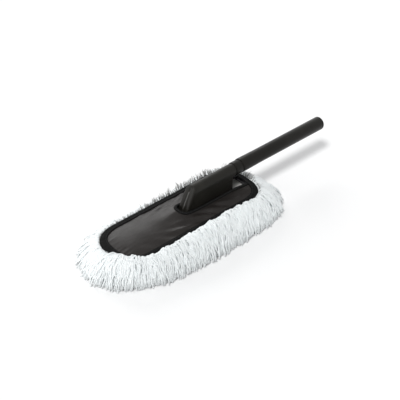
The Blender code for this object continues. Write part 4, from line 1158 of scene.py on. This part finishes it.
def make_camera(scene, right, away):
    """The camera looks away and down by an angle, at a point on the floor from a distance."""
    height, distance, target = math.radians(38.145), 2.3394, Vector((0.01913, 0.05481, 0))
    look = away * math.cos(height) - Vector((0, 0, math.sin(height)))
    lens = bpy.data.cameras.new("camera")
    lens.lens = 104.445
    lens.sensor_width = 36
    camera = bpy.data.objects.new("camera", lens)
    basis = Matrix((right, right.cross(look), -look)).transposed()
    camera.matrix_world = Matrix.Translation(target - look * distance) @ basis.to_4x4()
    scene.collection.objects.link(camera)
    scene.camera = camera


class DUSTER_OT_cloths(bpy.types.Operator):
    """Makes the cover, the backing and the tapes with their stitches"""

    bl_idname = "duster.cloths"
    bl_label = "Cloths and bindings"

    def execute(self, context):
        head, colours = context.scene.duster_head, context.scene.duster_finish
        tape = tape_finish(colours)
        thread = thread_finish(colours)
        rim_tape = finish_piece(make_rim_binding(head, tape), "root", "binding_tape", "rim_binding")
        slot_tape = finish_piece(make_slot_binding(head, tape), "root", "binding_tape", "slot_binding")

        from_edge, height = 0.0028, 0.0019
        places = np.linspace(0, 1, int(rim_length(head) / head.stitch), endpoint=False)
        x, y, nx, ny = rim(head, places, head.binding - from_edge)
        row = make_stitches(head, "rim_stitches", x, y, cover_top(head, x, y) + height, nx, ny, thread)
        finish_piece(row, "root", "binding_tape")

        from_edge, height, row_length, short_of_tape = 0.0018, 0.0020, 0.36, 0.003
        places = np.linspace(0.02, 0.98, int(row_length / head.stitch))
        end_x = head.length / 2 - head.binding - short_of_tape
        x, y, nx, ny = slot_edge(head, places, head.slot_tape - from_edge, end_x)
        row = make_stitches(head, "slot_stitches", x, y, cover_top(head, x, y) + height, nx, ny, thread)
        finish_piece(row, "root", "binding_tape")

        cover = make_cover(head, cover_finish(colours))
        finish_piece(cover, "root", "cover_nylon", "cover_cloth")
        backing = make_backing(head, backing_finish(colours))
        finish_piece(backing, "root", "backing_cotton", "backing_cloth")
        return {"FINISHED"}


class DUSTER_OT_yarn(bpy.types.Operator):
    """Makes the fringe round the rim and the pile under the head"""

    bl_idname = "duster.yarn"
    bl_label = "Cotton yarn"

    def execute(self, context):
        head, yarn = context.scene.duster_head, context.scene.duster_yarn
        finish = yarn_finish(context.scene.duster_finish)
        make_fringe(head, yarn, finish, hair_shade_finish(context.scene.duster_finish))
        make_pile(head, yarn, finish)
        return {"FINISHED"}


class DUSTER_OT_neck(bpy.types.Operator):
    """Makes both halves of the moulded neck"""

    bl_idname = "duster.neck"
    bl_label = "Neck"

    def execute(self, context):
        grip, colours = context.scene.duster_grip, context.scene.duster_finish
        base, bead_highlight_base = tinted(colours.plastic, 1.4), tinted(colours.plastic, 2.0)
        finish = moulded_finish("neck_moulded_plastic", base, 0.40, 2600.0, specular=0.19)
        # The bead's colour, paler than the neck's plastic, paints a highlight line down the neck's front
        bead_highlight = moulded_finish("neck_bead_painted_highlight", bead_highlight_base, 0.36, 2600.0, specular=0.65)
        make_neck_half(grip, 1, "neck_half_left", "neck_left", finish)
        make_neck_half(grip, -1, "neck_half_right", "neck_right", finish)
        make_neck_bead(grip, bead_highlight)
        return {"FINISHED"}


class DUSTER_OT_handle(bpy.types.Operator):
    """Makes the grip, its bush and cap, and the inner tube"""

    bl_idname = "duster.handle"
    bl_label = "Telescopic handle"

    def execute(self, context):
        grip, colours = context.scene.duster_grip, context.scene.duster_finish
        finishes = {
            "grip": moulded_finish("grip_matte_plastic", colours.plastic, 0.34, 2200.0, 0.5, 0.16),
            "tube": tube_finish(colours),
        }
        make_handle(grip, finishes)
        return {"FINISHED"}


class DUSTER_OT_inner_parts(bpy.types.Operator):
    """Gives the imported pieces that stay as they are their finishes"""

    bl_idname = "duster.inner_parts"
    bl_label = "Plate, lock and screws"

    def execute(self, context):
        colours = context.scene.duster_finish
        plate = moulded_finish("frame_moulded_plastic", colours.frame, 0.52, 1800.0)
        lock = moulded_finish("lock_natural_plastic", colours.lock, 0.50, 1500.0)
        steel = steel_finish(colours)
        finishes = {
            "frame_plate": plate,
            "lock_plug": lock,
            "lock_wedge": lock,
            "lock_sleeve": lock,
            "stop_nut": steel,
            "tube_pin": steel,
            "neck_screw_front": steel,
            "neck_screw_middle": steel,
            "neck_screw_rear": steel,
        }
        for name, finish in finishes.items():
            node = frame["nodes"][name]
            if not node.material_slots:
                node.data.materials.append(finish)
            for place in node.material_slots:
                place.material = finish
        return {"FINISHED"}


class DUSTER_OT_stage(bpy.types.Operator):
    """Makes the floor, the light and the camera"""

    bl_idname = "duster.stage"
    bl_label = "Floor, light and camera"

    def execute(self, context):
        context.scene.view_settings.view_transform = "Standard"
        turn = math.radians(41.382)
        right = Vector((math.cos(turn), -math.sin(turn), 0))
        away = Vector((math.sin(turn), math.cos(turn), 0))
        make_floor()
        make_world(context.scene)
        make_lamps(context.scene, right, away)
        make_camera(context.scene, right, away)
        return {"FINISHED"}


OPERATORS = (
    DUSTER_OT_cloths,
    DUSTER_OT_yarn,
    DUSTER_OT_neck,
    DUSTER_OT_handle,
    DUSTER_OT_inner_parts,
    DUSTER_OT_stage,
)
GROUPS = {
    "duster_head": DusterHead,
    "duster_yarn": DusterYarn,
    "duster_grip": DusterGrip,
    "duster_finish": DusterFinish,
}


class DUSTER_PT_panel(bpy.types.Panel):
    """Lists the duster's pieces and sizes"""

    bl_idname = "DUSTER_PT_panel"
    bl_label = "Car duster"
    bl_space_type = "VIEW_3D"
    bl_region_type = "UI"
    bl_category = "Duster"

    def draw(self, context):
        layout = self.layout
        for operator in OPERATORS:
            layout.operator(operator.bl_idname)
        for name, group in GROUPS.items():
            box = layout.box()
            for key in group.__annotations__:
                box.prop(getattr(context.scene, name), key)


def register():
    for group in GROUPS.values():
        bpy.utils.register_class(group)
    for name, group in GROUPS.items():
        setattr(bpy.types.Scene, name, bpy.props.PointerProperty(type=group))
    for operator in OPERATORS:
        bpy.utils.register_class(operator)
    bpy.utils.register_class(DUSTER_PT_panel)


def unregister():
    bpy.utils.unregister_class(DUSTER_PT_panel)
    for operator in reversed(OPERATORS):
        bpy.utils.unregister_class(operator)
    for name in GROUPS:
        delattr(bpy.types.Scene, name)
    for group in GROUPS.values():
        bpy.utils.unregister_class(group)


def main():
    register()
    bpy.ops.duster.cloths()
    bpy.ops.duster.yarn()
    bpy.ops.duster.neck()
    bpy.ops.duster.handle()
    bpy.ops.duster.inner_parts()
    bpy.ops.duster.stage()


if __name__ == "__main__":
    main()
